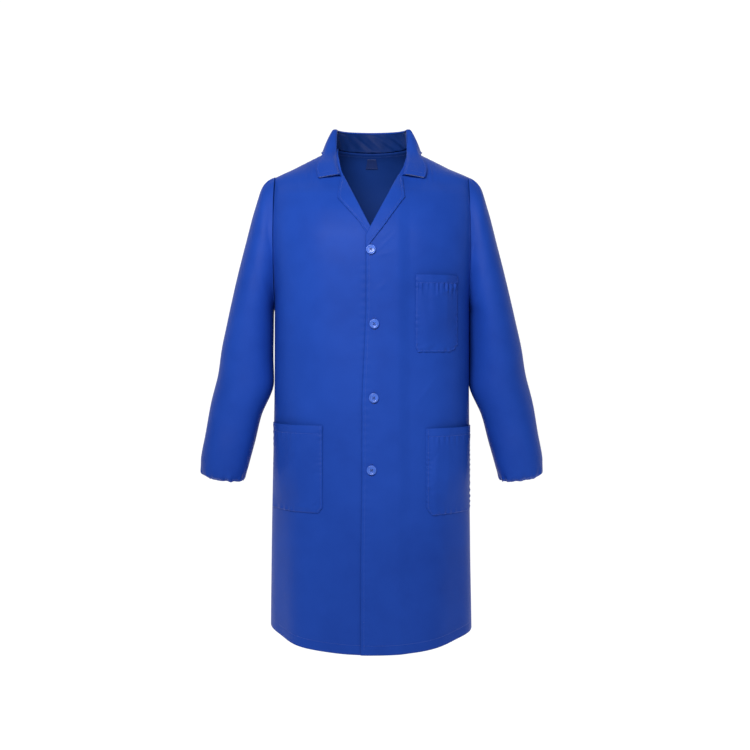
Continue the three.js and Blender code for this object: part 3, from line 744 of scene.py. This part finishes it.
RELIEF = {"chest_pocket_cloth": 1.9, "right_pocket_cloth": 0.4, "left_pocket_cloth": 0.9}
SIDES = {"chest_pocket_cloth": 1.7, "right_pocket_cloth": 0.9, "left_pocket_cloth": 1.2}
FOLDS = {
    "chest_pocket_cloth": lambda x, z: (0.9 * bump_at(x, z, 100, -330, 9, 50, 0.1) - 0.7 * bump_at(x, z, 112, -330, 8, 60, 0.1)
                                        + 1.0 * bump_at(x, z, 140, -309, 26, 5, 0.5) - 0.8 * bump_at(x, z, 118, -306, 20, 4, -0.6)
                                        + 1.1 * bump_at(x, z, 93, -296, 8, 6, 0.8) + 0.9 * bump_at(x, z, 160, -298, 10, 4, 0.9)
                                        + 1.0 * bump_at(x, z, 106, -419, 10, 5, 0.2) - 0.9 * bump_at(x, z, 122, -421, 6, 5, 0.9) + 0.9 * bump_at(x, z, 138, -418, 9, 4, -0.5)),
    "right_pocket_cloth": lambda x, z: (2.4 * bump_at(x, z, -150, -650, 70, 14, 0.95) - 1.6 * bump_at(x, z, -172, -612, 40, 11, 0.8)
                                        + 1.3 * bump_at(x, z, -112, -722, 12, 5, 0.7) - 1.2 * bump_at(x, z, -104, -722, 12, 4, 0.9)
                                        + 1.0 * bump_at(x, z, -128, -733, 20, 4, -0.1) + 0.9 * bump_at(x, z, -108, -655, 10, 4, 0.5)),
    "left_pocket_cloth": lambda x, z: (1.2 * bump_at(x, z, 124, -660, 7, 70, 0.0) - 1.3 * bump_at(x, z, 114, -650, 5, 80, 0.0)
                                       + 1.0 * bump_at(x, z, 113, -690, 14, 4, 0.5) - 0.9 * bump_at(x, z, 116, -701, 14, 4, 0.3)
                                       + 0.8 * bump_at(x, z, 128, -742, 22, 5, 0.0) + 0.9 * bump_at(x, z, 165, -650, 12, 60, 0.1)),
}
chest_pocket, chest_st = pocket(CHEST, "chest_pocket_cloth", 6.0, 1, (5, 11), (13, 14), 3)
right_pocket, right_st = pocket(RIGHT, "right_pocket_cloth", 9.0, -1, (0, 0), (9, 11), 7)
left_pocket, left_st = pocket(LEFT, "left_pocket_cloth", 9.0, 1, (10.5, 15), (0, 0), 11)


# ------------------------------------------------------------------- lapels
def lapel(side, name):
    if side > 0:
        outer = [(56.4, -70), (62.4, -78), (66.3, -122.5), (21.1, -186), (-1.2, -213.2), (-11.2, -235)]
        roll = LEFT_NECK + [(-11.4, -235)]
        z = rows_between(-234.0, -70.3, 1.6)
    else:
        outer = [(-56.4, -70), (-62.9, -77), (-67.6, -121.9), (-23.8, -172.0), (-12.0, -192), (-8.5, -203)]
        roll = RIGHT_NECK + [(-3.2, -190), (-7.6, -203)]
        z = rows_between(-202.5, -70.3, 1.6)
    xr, xo = line_x(roll, z), line_x(outer, z)
    w = np.maximum(np.abs(xo - xr), 0.4)
    r = np.minimum(2.3, 0.35 * w) * (1 if side > 0 else 1.0)
    if side < 0:
        r = r * (0.25 + 0.75 * smooth((z + 190) / 40))
    cen = 0.9
    cols = []
    inside = np.minimum(7.0, 0.6 * w)
    for q in np.linspace(1, 0, 4)[:-1]:
        cols.append((r + inside * q, -r + cen - 0.2))
    for tau in np.linspace(0, math.pi, 11):
        cols.append((r - r * math.sin(tau), cen - r * math.cos(tau)))
    nflat = 34
    for q in np.linspace(0, 1, nflat)[1:]:
        dx = r + (w - r) * q
        k = smooth((dx - r) / 16.0)
        cols.append((dx, (cen + r) * (1 - k) + 3.0 * k))
    dx = np.stack([c[0] for c in cols], 1)
    off = np.stack([np.broadcast_to(c[1], z.shape) for c in cols], 1)
    zz = np.broadcast_to(z[:, None], dx.shape)
    x = xr[:, None] + side * dx
    flat = np.arange(len(cols))[None] > 13
    de = w[:, None] - dx
    off = off + np.where(flat, 0.45 * wave(x, zz, 31, 4, 38, 0.8) * smooth(dx / 12) * smooth(de / 5), 0)
    off = off + np.where(flat, 0.3 * np.exp(-(de / 5) ** 2) * np.sin(zz * 2 * math.pi / 10.5), 0)
    off = off + np.where(flat, -0.3 * np.exp(-((de - 5.0) / 1.0) ** 2) - 0.4 * np.clip(1 - de / 1.0, 0, 1) ** 2, 0)
    off = np.where(flat, np.maximum(off, 1.3), off)
    base = rise(x) if side > 0 else 0.0
    P, N = trunk(phi_at(x, zz), zz, off + base)
    th = np.where(flat, np.minimum(1.3, 0.9 * off), 0.6)
    o = cloth(name, P, th, outward=None, mats=[FACING, COAT], uv_shift=(3000 + 200 * side, 0)) if False else None
    # orientation: the outside of the flat part faces away from the body
    Pn = grid_normals(P)
    s = np.sign(np.sum(Pn[:, -20] * N[:, -20]))
    Nn = Pn * s
    o = cloth(name, P, th, outward=Nn, mats=[COAT, COAT], uv_shift=(3000 + 200 * side, 0))
    # topstitching a few millimetres inside the outer edge
    runs = []
    rows = np.arange(3, len(z) - 2)
    line, nrm = [], []
    for i in rows[::-1]:
        if w[i] < 9:
            continue
        j = np.argmin(np.abs(dx[i] - (w[i] - 5.0)) + (np.arange(len(cols)) < 14) * 100)
        line.append(P[i, j])
        nrm.append(N[i, j])
    if len(line) > 4:
        line = np.array(line)
        k = np.ones(5) / 5
        pad = np.pad(line, ((2, 2), (0, 0)), mode="edge")
        line = np.stack([np.convolve(pad[:, c], k, "valid") for c in range(3)], -1)
        runs = stitch_runs(line, np.array(nrm), 2.9, 2.2, lift=0.3)
    st = threads(name.replace("_cloth", "") + "_topstitch", runs)
    return o, st


left_lapel, left_lapel_st = lapel(1, "left_lapel_cloth")
right_lapel, right_lapel_st = lapel(-1, "right_lapel_cloth")


# ------------------------------------------------------------------- collar
def catmull(points, t):
    """Centripetal Catmull-Rom through the points; t from 0 to 1, even in index."""
    pts = np.asarray(points, float)
    n = len(pts)
    t = np.clip(np.asarray(t, float), 0, 1)
    p = (n - 1) * t
    i = np.minimum(np.floor(p).astype(int), n - 2)
    w = p - i
    ext = np.concatenate([[2 * pts[0] - pts[1]], pts, [2 * pts[-1] - pts[-2]]])
    p0, p1, p2, p3 = ext[i], ext[i + 1], ext[i + 2], ext[i + 3]
    d0 = np.sum((p0 - p1) ** 2, -1) ** 0.25
    d1 = np.sum((p1 - p2) ** 2, -1) ** 0.25
    d2 = np.sum((p2 - p3) ** 2, -1) ** 0.25
    d1 = np.where(d1 < 1e-4, 1.0, d1)
    d0 = np.where(d0 < 1e-4, d1, d0)
    d2 = np.where(d2 < 1e-4, d1, d2)
    d0, d1, d2, w = d0[..., None], d1[..., None], d2[..., None], w[..., None]
    t1 = ((p1 - p0) / d0 - (p2 - p0) / (d0 + d1) + (p2 - p1) / d1) * d1
    t2 = ((p2 - p1) / d1 - (p3 - p1) / (d1 + d2) + (p3 - p2) / d2) * d1
    return (p1 + t1 * w + (-3 * p1 + 3 * p2 - 2 * t1 - t2) * w ** 2 + (2 * p1 - 2 * p2 + t1 + t2) * w ** 3)


def whole(pts):
    return [[-x, y, z] for x, y, z in pts[1:][::-1]] + [list(p) for p in pts]


FOLD_C = whole(FOLD_LINE)
NECK_C = whole(NECK_LINE)
EDGE_C = whole([skin_at(math.radians(d), z).tolist() for d, z in EDGE_LINE])


def clear_of(p, m):
    a, yr, bf, bb, n = section(np.minimum(p[..., 2], 0))
    dy = p[..., 1] - yr
    r = ((np.abs(p[..., 0]) / a) ** n + (np.abs(dy) / np.where(dy < 0, bf, bb)) ** n) ** (1 / n)
    ln = np.hypot(p[..., 0], dy)
    need = (ln * (1 - 1 / r) < m) & (p[..., 2] <= 0)
    k = np.where(need, (ln / r + m) / np.maximum(ln, 1e-6), 1.0)
    q = p.copy()
    q[..., 0] = p[..., 0] * k
    q[..., 1] = yr + dy * k
    return np.where(need[..., None], q, p)


def out_dir(p, z=0.0):
    return unit(np.stack([p[..., 0], p[..., 1] + 62, np.zeros(p.shape[:-1])], -1)) + np.array([0, 0, z])


def fall_at(t, v):
    p = catmull(FOLD_C, t) * (1 - v)[..., None] + catmull(EDGE_C, t) * v[..., None]
    p = p + out_dir(p) * (2.2 + 10 * v * (1 - v))[..., None]
    return clear_of(p, 5.5)


def fall_layer(name, off, thick, v0, v1, nu=180, nv=30, mats=None, slot="coat_cloth", detail=0.0, t0=0.004):
    t = t0 + (1 - 2 * t0) * np.linspace(0, 1, nu)
    v = np.linspace(v0, v1, nv)
    vv, tt = np.meshgrid(v, t, indexing="ij")
    p = fall_at(tt, vv)
    o = unit(out_dir(p, 0.45))
    P = p + o * (off * 1.15)
    if detail:
        s = (tt - 0.5) * 420
        k = detail * (0.35 * wave(s, vv * 60, 41, 4, 55, 0.6) * smooth(vv / 0.15) + 0.22 * np.exp(-((1 - vv) / 0.12) ** 2) * np.sin(s * 2 * math.pi / 11))
        P = P + o * k[..., None]
    return P, o


def upper_collar():
    nu, nv = 220, 34
    t = 0.004 + 0.992 * np.linspace(0, 1, nu)
    v = np.linspace(0.03, 1.0, nv)
    vv, tt = np.meshgrid(v, t, indexing="ij")
    p = fall_at(tt, vv)
    o = unit(out_dir(p, 0.45))
    s = (tt - 0.5) * 430
    edge_mm = (1 - vv) * 55
    end_mm = np.minimum(tt, 1 - tt) * 430
    rim = np.minimum(edge_mm, end_mm)
    k = 4.2 + 0.4 * wave(s, vv * 60, 41, 4, 55, 0.6) * smooth(vv / 0.15) + 0.25 * np.exp(-(edge_mm / 5) ** 2) * np.sin(s * 2 * math.pi / 11)
    k = k - 0.3 * np.exp(-((rim - 5.0) / 1.0) ** 2) - 0.7 * np.clip(1 - rim / 1.4, 0, 1) ** 2
    P = p + o * k[..., None]
    # over the fold and down inside, onto the stand
    f = catmull(FOLD_C, t)
    inward = -out_dir(f)
    top = f + np.array([0, 0, -0.6]) + out_dir(f) * 0.2
    over = [f + inward * 2.5 - np.array([0, 0, 4.8]), f + inward * 2.7 - np.array([0, 0, 3.4]),
            f + inward * 2.2 - np.array([0, 0, 1.8]), top - out_dir(f) * 1.0]
    P = np.concatenate([np.stack(over), top[None] + out_dir(f)[None] * 0.9, P], 0)
    # ease the fold's section into a round roll
    for _ in range(3):
        P[1:8] = (P[0:7] + 2 * P[1:8] + P[2:9]) / 4
    return P, p


P_c, _ = upper_collar()
Nc = grid_normals(P_c)
Nc = Nc * np.sign(np.sum(Nc[20] * out_dir(P_c[20], 0.3)))
collar_top = cloth("upper_collar_cloth", P_c, 0.8, outward=Nc, mats=[COAT, COAT], uv_shift=(3600, 0))
Pu, ou = fall_layer("u", 1.0, 0.8, 0.03, 0.985)
collar_under = cloth("under_collar_cloth", Pu, 0.8, outward=ou, mats=[COAT, COAT], uv_shift=(3900, 0))
Pi, oi = fall_layer("i", 2.1, 0.5, 0.05, 0.97, nv=20)
collar_inter = cloth("collar_interlining_cloth", Pi, 0.5, outward=oi, mats=[FUSING])


def stand():
    nu, nv = 170, 40
    u = np.linspace(0, 1, nu)
    v = np.linspace(0, 1, nv)
    vv, uu = np.meshgrid(v, u, indexing="ij")
    a = catmull(NECK_C, uu)
    b = catmull(FOLD_C, 0.5 + (uu - 0.5) * 0.66)
    p = a * (1 - vv * 0.955)[..., None] + b * (vv * 0.955)[..., None]
    inward = -out_dir(p)
    s = (uu - 0.5) * 240
    crease = 0
    rng = np.random.RandomState(12)
    for c, w, amp, ang in ((-78, 5, 1.8, 0.55), (-60, 4, -1.2, 0.5), (-38, 7, 1.4, 0.75), (-16, 5, 1.6, 0.7),
                           (4, 6, -1.2, 0.6), (22, 6, 1.5, 0.75), (44, 5, 1.3, 0.8), (66, 7, -1.0, 0.6), (84, 5, 1.4, 0.7)):
        q = (s - c + ang * (vv - 0.5) * 55) / w
        crease = crease + amp * np.exp(-q * q) * (0.4 + 0.6 * np.sin(math.pi * np.clip(vv, 0, 1)))
    P = p + inward * (0.7 + (1.5 * crease + 0.3 * wave(s, vv * 45, 14, 4, 24, 1.0)) * smooth((1 - vv) / 0.3) * smooth(vv / 0.1 + 0.2))[..., None]
    return P, inward


P_s, N_s = stand()
collar_stand = cloth("collar_stand_cloth", P_s, 0.9, outward=N_s, mats=[STAND_SHADED, COAT], uv_shift=(4300, 0))

# collar topstitching, 5 mm inside the edge and the two ends
iedge = np.argmin(np.abs((1 - np.linspace(0.03, 1, 34)) * 55 - 5.0)) + 5
j0 = 4
lineP = np.concatenate([P_c[12:iedge, j0], P_c[iedge, j0:-j0], P_c[12:iedge, -j0 - 1][::-1]])
lineN = np.concatenate([Nc[12:iedge, j0], Nc[iedge, j0:-j0], Nc[12:iedge, -j0 - 1][::-1]])
collar_st = threads("collar_topstitch", stitch_runs(lineP, lineN, 2.9, 2.2, lift=0.3))

# neck label and its stitches, inside the back neck
zl = np.linspace(-30, -10, 16)
pl = np.linspace(math.pi - 0.1, math.pi + 0.1, 30)
zz, pp = np.meshgrid(zl, pl, indexing="ij")
Pl, Nl = trunk(pp, zz, -2.3)
label = cloth("neck_label_cloth", Pl, 0.5, outward=-Nl, mats=[LABEL])
lab_runs = stitch_runs(Pl[-2] - Nl[-2] * 0.55, -Nl[-2], 2.4, 1.8) + stitch_runs(Pl[1] - Nl[1] * 0.55, -Nl[1], 2.4, 1.8)
label_st = threads("neck_label_stitches", lab_runs, LABEL_THREAD, 0.25)

# ------------------------------------------- facings and interfacing strips
def strip(name, zs, xa, xb, off, thick, mats, slot, left):
    phis = panel_phis(zs, phi_at(xa, zs), phi_at(xb, zs), 20)
    zz = np.broadcast_to(zs[:, None], phis.shape)
    P, N = trunk(phis, zz, off)
    return cloth(name, P, thick, outward=-N if slot == "inside_cloth" else N, mats=mats)


zs = rows_between(-1004.0, -268.0, 6.0)
xe = line_x(FRONT_EDGE, zs)
xin = np.interp(zs, [-1010, -470, -330, -262], [36, 36, 6, -10.0])
left_facing = strip("left_facing_cloth", zs, xe + 1.2, np.maximum(xin, xe + 2.5), 0.6, 0.7, [FACING], "inside_cloth", True)
left_inter = strip("left_interfacing_cloth", zs, xe + 2.2, np.maximum(xin - 2, xe + 3.2), 2.5, 0.5, [FUSING], "interfacing", True)
zs = rows_between(-1004.0, -600.0, 6.0)
xl = np.interp(zs, [-1010, -752, -590], [-38, -38, 20.0])
right_inter = strip("right_interfacing_cloth", zs, np.minimum(xl + 1.5, 16.0), np.full(len(zs), 18.0), -1.6, 0.5, [FUSING], "interfacing", False)
right_facing = strip("right_facing_cloth", zs, np.minimum(xl, 15.0), np.full(len(zs), 18.8), -3.6, 0.7, [FACING], "inside_cloth", False)


# ------------------------------------------------------- body topstitching
def front_line(side, x_of_z, z0, z1, off=0.0, step=2.0):
    zs = np.arange(z1, z0, -step)
    xs = x_of_z(zs)
    o = rise(xs) if side > 0 else 0.0
    P, N = on_front(xs, zs, o + off)
    return P, N


e_fn = lambda z: line_x(FRONT_EDGE, z) + 6.5
runs = stitch_runs(*front_line(1, e_fn, -1004, -238, -0.3))
left_edge_st = threads("left_front_topstitch", runs)
runs = stitch_runs(*front_line(-1, lambda z: z * 0 + UNDERLAP_X - 6.0, -1004, -236, 0.0))
right_edge_st = threads("right_front_topstitch", runs)


def hem_runs(P, N, height=18.0):
    """Stitches along a row 18 mm above the hem."""
    k = np.argmin(np.abs(P[:, P.shape[1] // 2, 2] - (P[0, P.shape[1] // 2, 2] + height)))
    return stitch_runs(P[k, 1:-1], N[k, 1:-1], 3.1, 2.4)


left_hem_st = threads("left_hem_stitching", hem_runs(P_l, N_l))
right_hem_st = threads("right_hem_stitching", hem_runs(P_r, N_r))
back_hem_st = threads("back_hem_stitching", hem_runs(P_b, N_b))
# shoulder, neck and armhole seams: a row of stitches beside each seam
sh = (Zb > -58) & (Zb < -3)
runs = []
for jj in (3, -4):
    runs += stitch_runs(P_b[sh][:, jj], N_b[sh][:, jj], 2.9, 2.2)
ik = np.argmin(np.abs(Zb + 5.5))
runs += stitch_runs(P_b[ik, 6:-6] - N_b[ik, 6:-6] * 0.85, -N_b[ik, 6:-6], 2.9, 2.2)
ah = (Zb > ARMHOLE_BOTTOM) & (Zb < ARMHOLE_TOP)
for jj in (3, -4):
    runs += stitch_runs(P_b[ah][:, jj], N_b[ah][:, jj], 2.9, 2.2)
ahf = (Z > ARMHOLE_BOTTOM) & (Z < ARMHOLE_TOP)
runs += stitch_runs(P_l[ahf][:, -5], N_l[ahf][:, -5], 2.9, 2.2)
runs += stitch_runs(P_r[ahf][:, -5], N_r[ahf][:, -5], 2.9, 2.2)
seam_st = threads("seam_topstitch", runs, None, 0.24)


# --------------------------------------------------------- buttons, threads
def frame_at(p, n):
    n = Vector(n).normalized()
    x = Vector((1, 0, 0))
    x = (x - n * x.dot(n)).normalized()
    y = n.cross(x)
    return Matrix(((x.x, y.x, n.x, p[0] * MM), (x.y, y.y, n.y, p[1] * MM), (x.z, y.z, n.z, p[2] * MM), (0, 0, 0, 1)))


def button(i, p, n):
    prof = [(0.0, 0.35), (5.4, 0.35), (6.2, 0.1), (7.6, 0.0), (8.8, 0.25), (9.4, 0.9), (9.5, 1.55), (9.3, 2.3), (8.7, 2.9), (8.0, 3.05),
            (7.3, 2.85), (6.7, 2.3), (6.2, 2.0), (5.2, 1.88), (0.0, 1.85)]
    seg = 72
    bm = bmesh.new()
    rings = []
    for r, z in prof:
        if r == 0:
            rings.append([bm.verts.new((0, 0, z * MM))])
        else:
            rings.append([bm.verts.new((r * MM * math.cos(2 * math.pi * k / seg), r * MM * math.sin(2 * math.pi * k / seg), z * MM)) for k in range(seg)])
    for a, b in zip(rings[:-1], rings[1:]):
        for k in range(seg):
            k2 = (k + 1) % seg
            if len(a) == 1:
                bm.faces.new((a[0], b[k2], b[k]))
            elif len(b) == 1:
                bm.faces.new((a[k], a[k2], b[0]))
            else:
                bm.faces.new((a[k], a[k2], b[k2], b[k]))
    bmesh.ops.recalc_face_normals(bm, faces=bm.faces)
    me = bpy.data.meshes.new(f"button_{i}_disc")
    bm.to_mesh(me)
    bm.free()
    o = bpy.data.objects.new(f"button_{i}_disc", me)
    scene.collection.objects.link(o)
    cutters = []
    for k in range(4):
        t = math.pi / 4 + k * math.pi / 2
        cb = bmesh.new()
        bmesh.ops.create_cone(cb, cap_ends=True, segments=20, radius1=1.0 * MM, radius2=1.0 * MM, depth=8 * MM,
                              matrix=Matrix.Translation((2.3 * MM * math.cos(t), 2.3 * MM * math.sin(t), 1.5 * MM)))
        cm = bpy.data.meshes.new("cut")
        cb.to_mesh(cm)
        cb.free()
        c = bpy.data.objects.new(f"cut_{i}_{k}", cm)
        scene.collection.objects.link(c)
        mod = o.modifiers.new(f"hole_{k}", "BOOLEAN")
        mod.operation = "DIFFERENCE"
        mod.object = c
        mod.solver = "EXACT"
        cutters.append(c)
    bv = o.modifiers.new("soft", "BEVEL")
    bv.width = 0.18 * MM
    bv.segments = 2
    bv.limit_method = "ANGLE"
    bv.angle_limit = math.radians(50)
    dg = bpy.context.evaluated_depsgraph_get()
    new = bpy.data.meshes.new_from_object(o.evaluated_get(dg))
    o.modifiers.clear()
    o.data = new
    for c in cutters:
        bpy.data.objects.remove(c)
    M = frame_at(p, n) @ Matrix.Translation((0, 0, 6.0 * MM))
    o.data.transform(M)
    o.data.materials.clear()
    o.data.materials.append(BUTTON)
    o.data.shade_auto_smooth(angle=math.radians(35)) if hasattr(o.data, "shade_auto_smooth") else o.data.shade_smooth()
    return o


def button_sewing(i, p, n):
    M = np.array(frame_at(p, n))
    runs = []
    rng = np.random.RandomState(50 + i)
    holes = [(2.3 * math.cos(math.pi / 4 + k * math.pi / 2), 2.3 * math.sin(math.pi / 4 + k * math.pi / 2)) for k in range(4)]
    for a, b in ((0, 2), (1, 3)):
        for q in (-0.42, 0.0, 0.42):
            ha, hb = np.array(holes[a]), np.array(holes[b])
            d = unit(hb - ha)
            s = np.array([-d[1], d[0]]) * q
            top = 8.15 + 0.28 * (a == 1) + 0.1 * abs(q)
            pts = [(*(ha + s), 5.6), (*(ha + s), 7.7), (*(ha + s + d * 0.35), top - 0.08), (*(0.5 * (ha + hb) + s), top + 0.12),
                   (*(hb + s - d * 0.35), top - 0.08), (*(hb + s), 7.7), (*(hb + s), 5.6)]
            runs.append(np.array(pts))
    # the shank: thread wound round itself under the button
    th = np.linspace(0, 2 * math.pi * 9, 150)
    runs.append(np.stack([2.3 * np.cos(th), 2.3 * np.sin(th), np.linspace(1.2, 5.6, 150)], -1))
    th = np.linspace(0, 2 * math.pi * 9, 150)
    runs.append(np.stack([1.6 * np.cos(th + 1), 1.6 * np.sin(th + 1), np.linspace(0.9, 5.7, 150)], -1))
    out = []
    for r in runs:
        r = r + rng.normal(0, 0.02, r.shape)
        h = np.concatenate([r * MM, np.ones((len(r), 1))], 1) @ M.T
        out.append(h[:, :3] / MM)
    return threads(f"button_{i}_sewing", out, BUTTON_THREAD, 0.27)


def buttonhole(i, p, n):
    """A worked buttonhole: a slit edged with close stitches, upright."""
    x0, z0 = p[0], p[2] + (0.0 if i > 1 else 0.0)
    half, w = 12.0, 1.35
    pts = []
    for k in range(150):
        t = 2 * math.pi * k / 150
        q = w if k % 2 else w + 1.25
        zz_ = z0 + (half - w) * np.sign(math.sin(t)) * min(1, abs(math.sin(t)) * 1.6) + q * math.sin(t) * 0.35
        xx_ = x0 + q * math.copysign(min(1, abs(math.cos(t)) * 3.0), math.cos(t))
        pts.append((xx_, zz_))
    pts.append(pts[0])
    pts = np.array(pts)
    P, N = on_front(pts[:, 0], pts[:, 1], rise(pts[:, 0]) + 0.15)
    st = threads(f"buttonhole_{i}_stitches", [P], None, 0.3)
    return st


pieces = []
for i, (p, n) in enumerate(BUTTONS, 1):
    b = button(i, p, n)
    t = button_sewing(i, p, n)
    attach(b, f"button_{i}_sewn")
    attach(t, f"button_{i}_sewn")
    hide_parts(f"button_{i}")
    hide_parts(f"button_thread_{i}")
hole_st = [buttonhole(i, p, n) for i, (p, n) in enumerate(BUTTONS, 1)]


# ------------------------------------------------------- riding on bodies
def m(*v):
    return tuple(c * MM for c in v)


for o in (left_front, left_edge_st, left_hem_st, left_facing, left_inter, *hole_st):
    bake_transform(o)
for o in (right_front, right_edge_st, right_hem_st, right_facing, right_inter):
    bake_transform(o)


for o in (left_lapel, left_lapel_st):
    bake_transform(o)
for o in (right_lapel, right_lapel_st):
    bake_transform(o)
for side, o, body in ((1, left_sleeve, "left_arm"), (-1, right_sleeve, "right_arm")):
    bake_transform(o)
for nm, body in (("left", "left_arm"), ("right", "right_arm")):
    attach(cuffs[nm + "_elastic"], body)
    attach(cuffs[nm + "_casing"], body)
for o in (back, back_hem_st, seam_st, chest_pocket, chest_st, right_pocket, right_st, left_pocket, left_st,
          collar_top, collar_under, collar_inter, collar_stand, collar_st, label, label_st):
    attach(o, "coat_body")

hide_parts("left_front", "left_front_edge")
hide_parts("right_front", "right_front_edge")
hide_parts("back_panel")
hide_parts("left_sleeve", "left_sleeve_head")
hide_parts("right_sleeve", "right_sleeve_head")
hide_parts("left_facing")
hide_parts("right_facing")
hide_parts("left_interfacing")
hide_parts("right_interfacing")
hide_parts("left_lapel")
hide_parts("right_lapel")
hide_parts("collar_stand")
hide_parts("under_collar")
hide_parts("collar_interlining")
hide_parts("upper_collar")
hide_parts("chest_pocket")
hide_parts("right_pocket")
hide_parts("left_pocket")
for nm in ("left", "right"):
    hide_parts(nm + "_cuff_elastic")
    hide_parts(nm + "_cuff_casing")
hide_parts("neck_label")

declare(back)
declare(left_front)
declare(right_front)
declare(left_sleeve)
declare(right_sleeve)
declare(chest_pocket)
declare(right_pocket)
declare(left_pocket)
declare(left_lapel)
declare(right_lapel)
declare(collar_top)
declare(collar_under)
declare(collar_inter)
declare(collar_stand)
declare(left_facing)
declare(left_inter)
declare(right_facing)
declare(right_inter)
for nm in ("left", "right"):
    declare(cuffs[nm + "_elastic"])
    declare(cuffs[nm + "_casing"])
declare(label)

# -------------------------------------------------------------- the studio
def plain(name, colour, rough=0.9):
    mt, nt, bsdf = material(name)
    bsdf.inputs["Base Color"].default_value = (*colour, 1)
    bsdf.inputs["Roughness"].default_value = rough
    bsdf.inputs["Specular IOR Level"].default_value = 0.1
    return mt


cove = [(-8.0, -1.30), (1.6, -1.30)] + [(1.6 + 1.6 * math.sin(q), 0.30 - 1.6 * math.cos(q)) for q in np.linspace(0.1, math.pi / 2, 16)] + [(3.2, 7.0)]
me = bpy.data.meshes.new("floor")
me.from_pydata([(x, y, z) for y, z in cove for x in (-14, 14)], [], [(2 * i, 2 * i + 1, 2 * i + 3, 2 * i + 2) for i in range(len(cove) - 1)])
# the floor and cove glow as painted light: white emission, strength 0.30 at the front rising to 0.90 behind the coat,
# lighting it from below and behind
floor_glow_mat = plain("floor_painted_glow", (0.30, 0.30, 0.30))
floor_glow_mat.node_tree.nodes["Principled BSDF"].inputs["Emission Color"].default_value = (1, 1, 1, 1)
nt = floor_glow_mat.node_tree
tc_f, sep_f, glow_by_depth = nt.nodes.new("ShaderNodeTexCoord"), nt.nodes.new("ShaderNodeSeparateXYZ"), nt.nodes.new("ShaderNodeMapRange")
nt.links.new(tc_f.outputs["Object"], sep_f.inputs[0])
nt.links.new(sep_f.outputs["Y"], glow_by_depth.inputs["Value"])
for k_f, v_f in (("From Min", -1.6), ("From Max", 0.1), ("To Min", 0.30), ("To Max", 0.90)):
    glow_by_depth.inputs[k_f].default_value = v_f
nt.links.new(glow_by_depth.outputs[0], nt.nodes["Principled BSDF"].inputs["Emission Strength"])
me.materials.append(floor_glow_mat)
me.shade_smooth()
floor = bpy.data.objects.new("floor", me)
scene.collection.objects.link(floor)

world = bpy.data.worlds.new("studio") if scene.world is None else scene.world
scene.world = world
world.use_nodes = True
bg = world.node_tree.nodes["Background"]
bg.inputs[0].default_value = (1.0, 1.0, 1.0, 1)
bg.inputs[1].default_value = 0.15


def area(name, loc, target, size, energy, colour=(1, 1, 1)):
    l = bpy.data.lights.new(name, "AREA")
    l.shape = "RECTANGLE"
    l.size, l.size_y = size
    l.energy = energy
    l.color = colour
    o = bpy.data.objects.new(name, l)
    o.location = loc
    d = Vector(target) - Vector(loc)
    o.rotation_euler = d.to_track_quat("-Z", "Y").to_euler()
    scene.collection.objects.link(o)
    return o


area("key", (-0.30, -1.40, 0.34), (-0.05, -0.2, -0.12), (0.8, 0.6), 19)
area("fill", (0.9, -2.6, 0.2), (0, -0.1, -0.5), (1.6, 1.6), 8)
area("back", (0.4, 2.0, 1.0), (0, 0, -0.4), (1.6, 1.2), 5)
scene.view_settings.view_transform = "Standard"

bpy.context.view_layer.update()
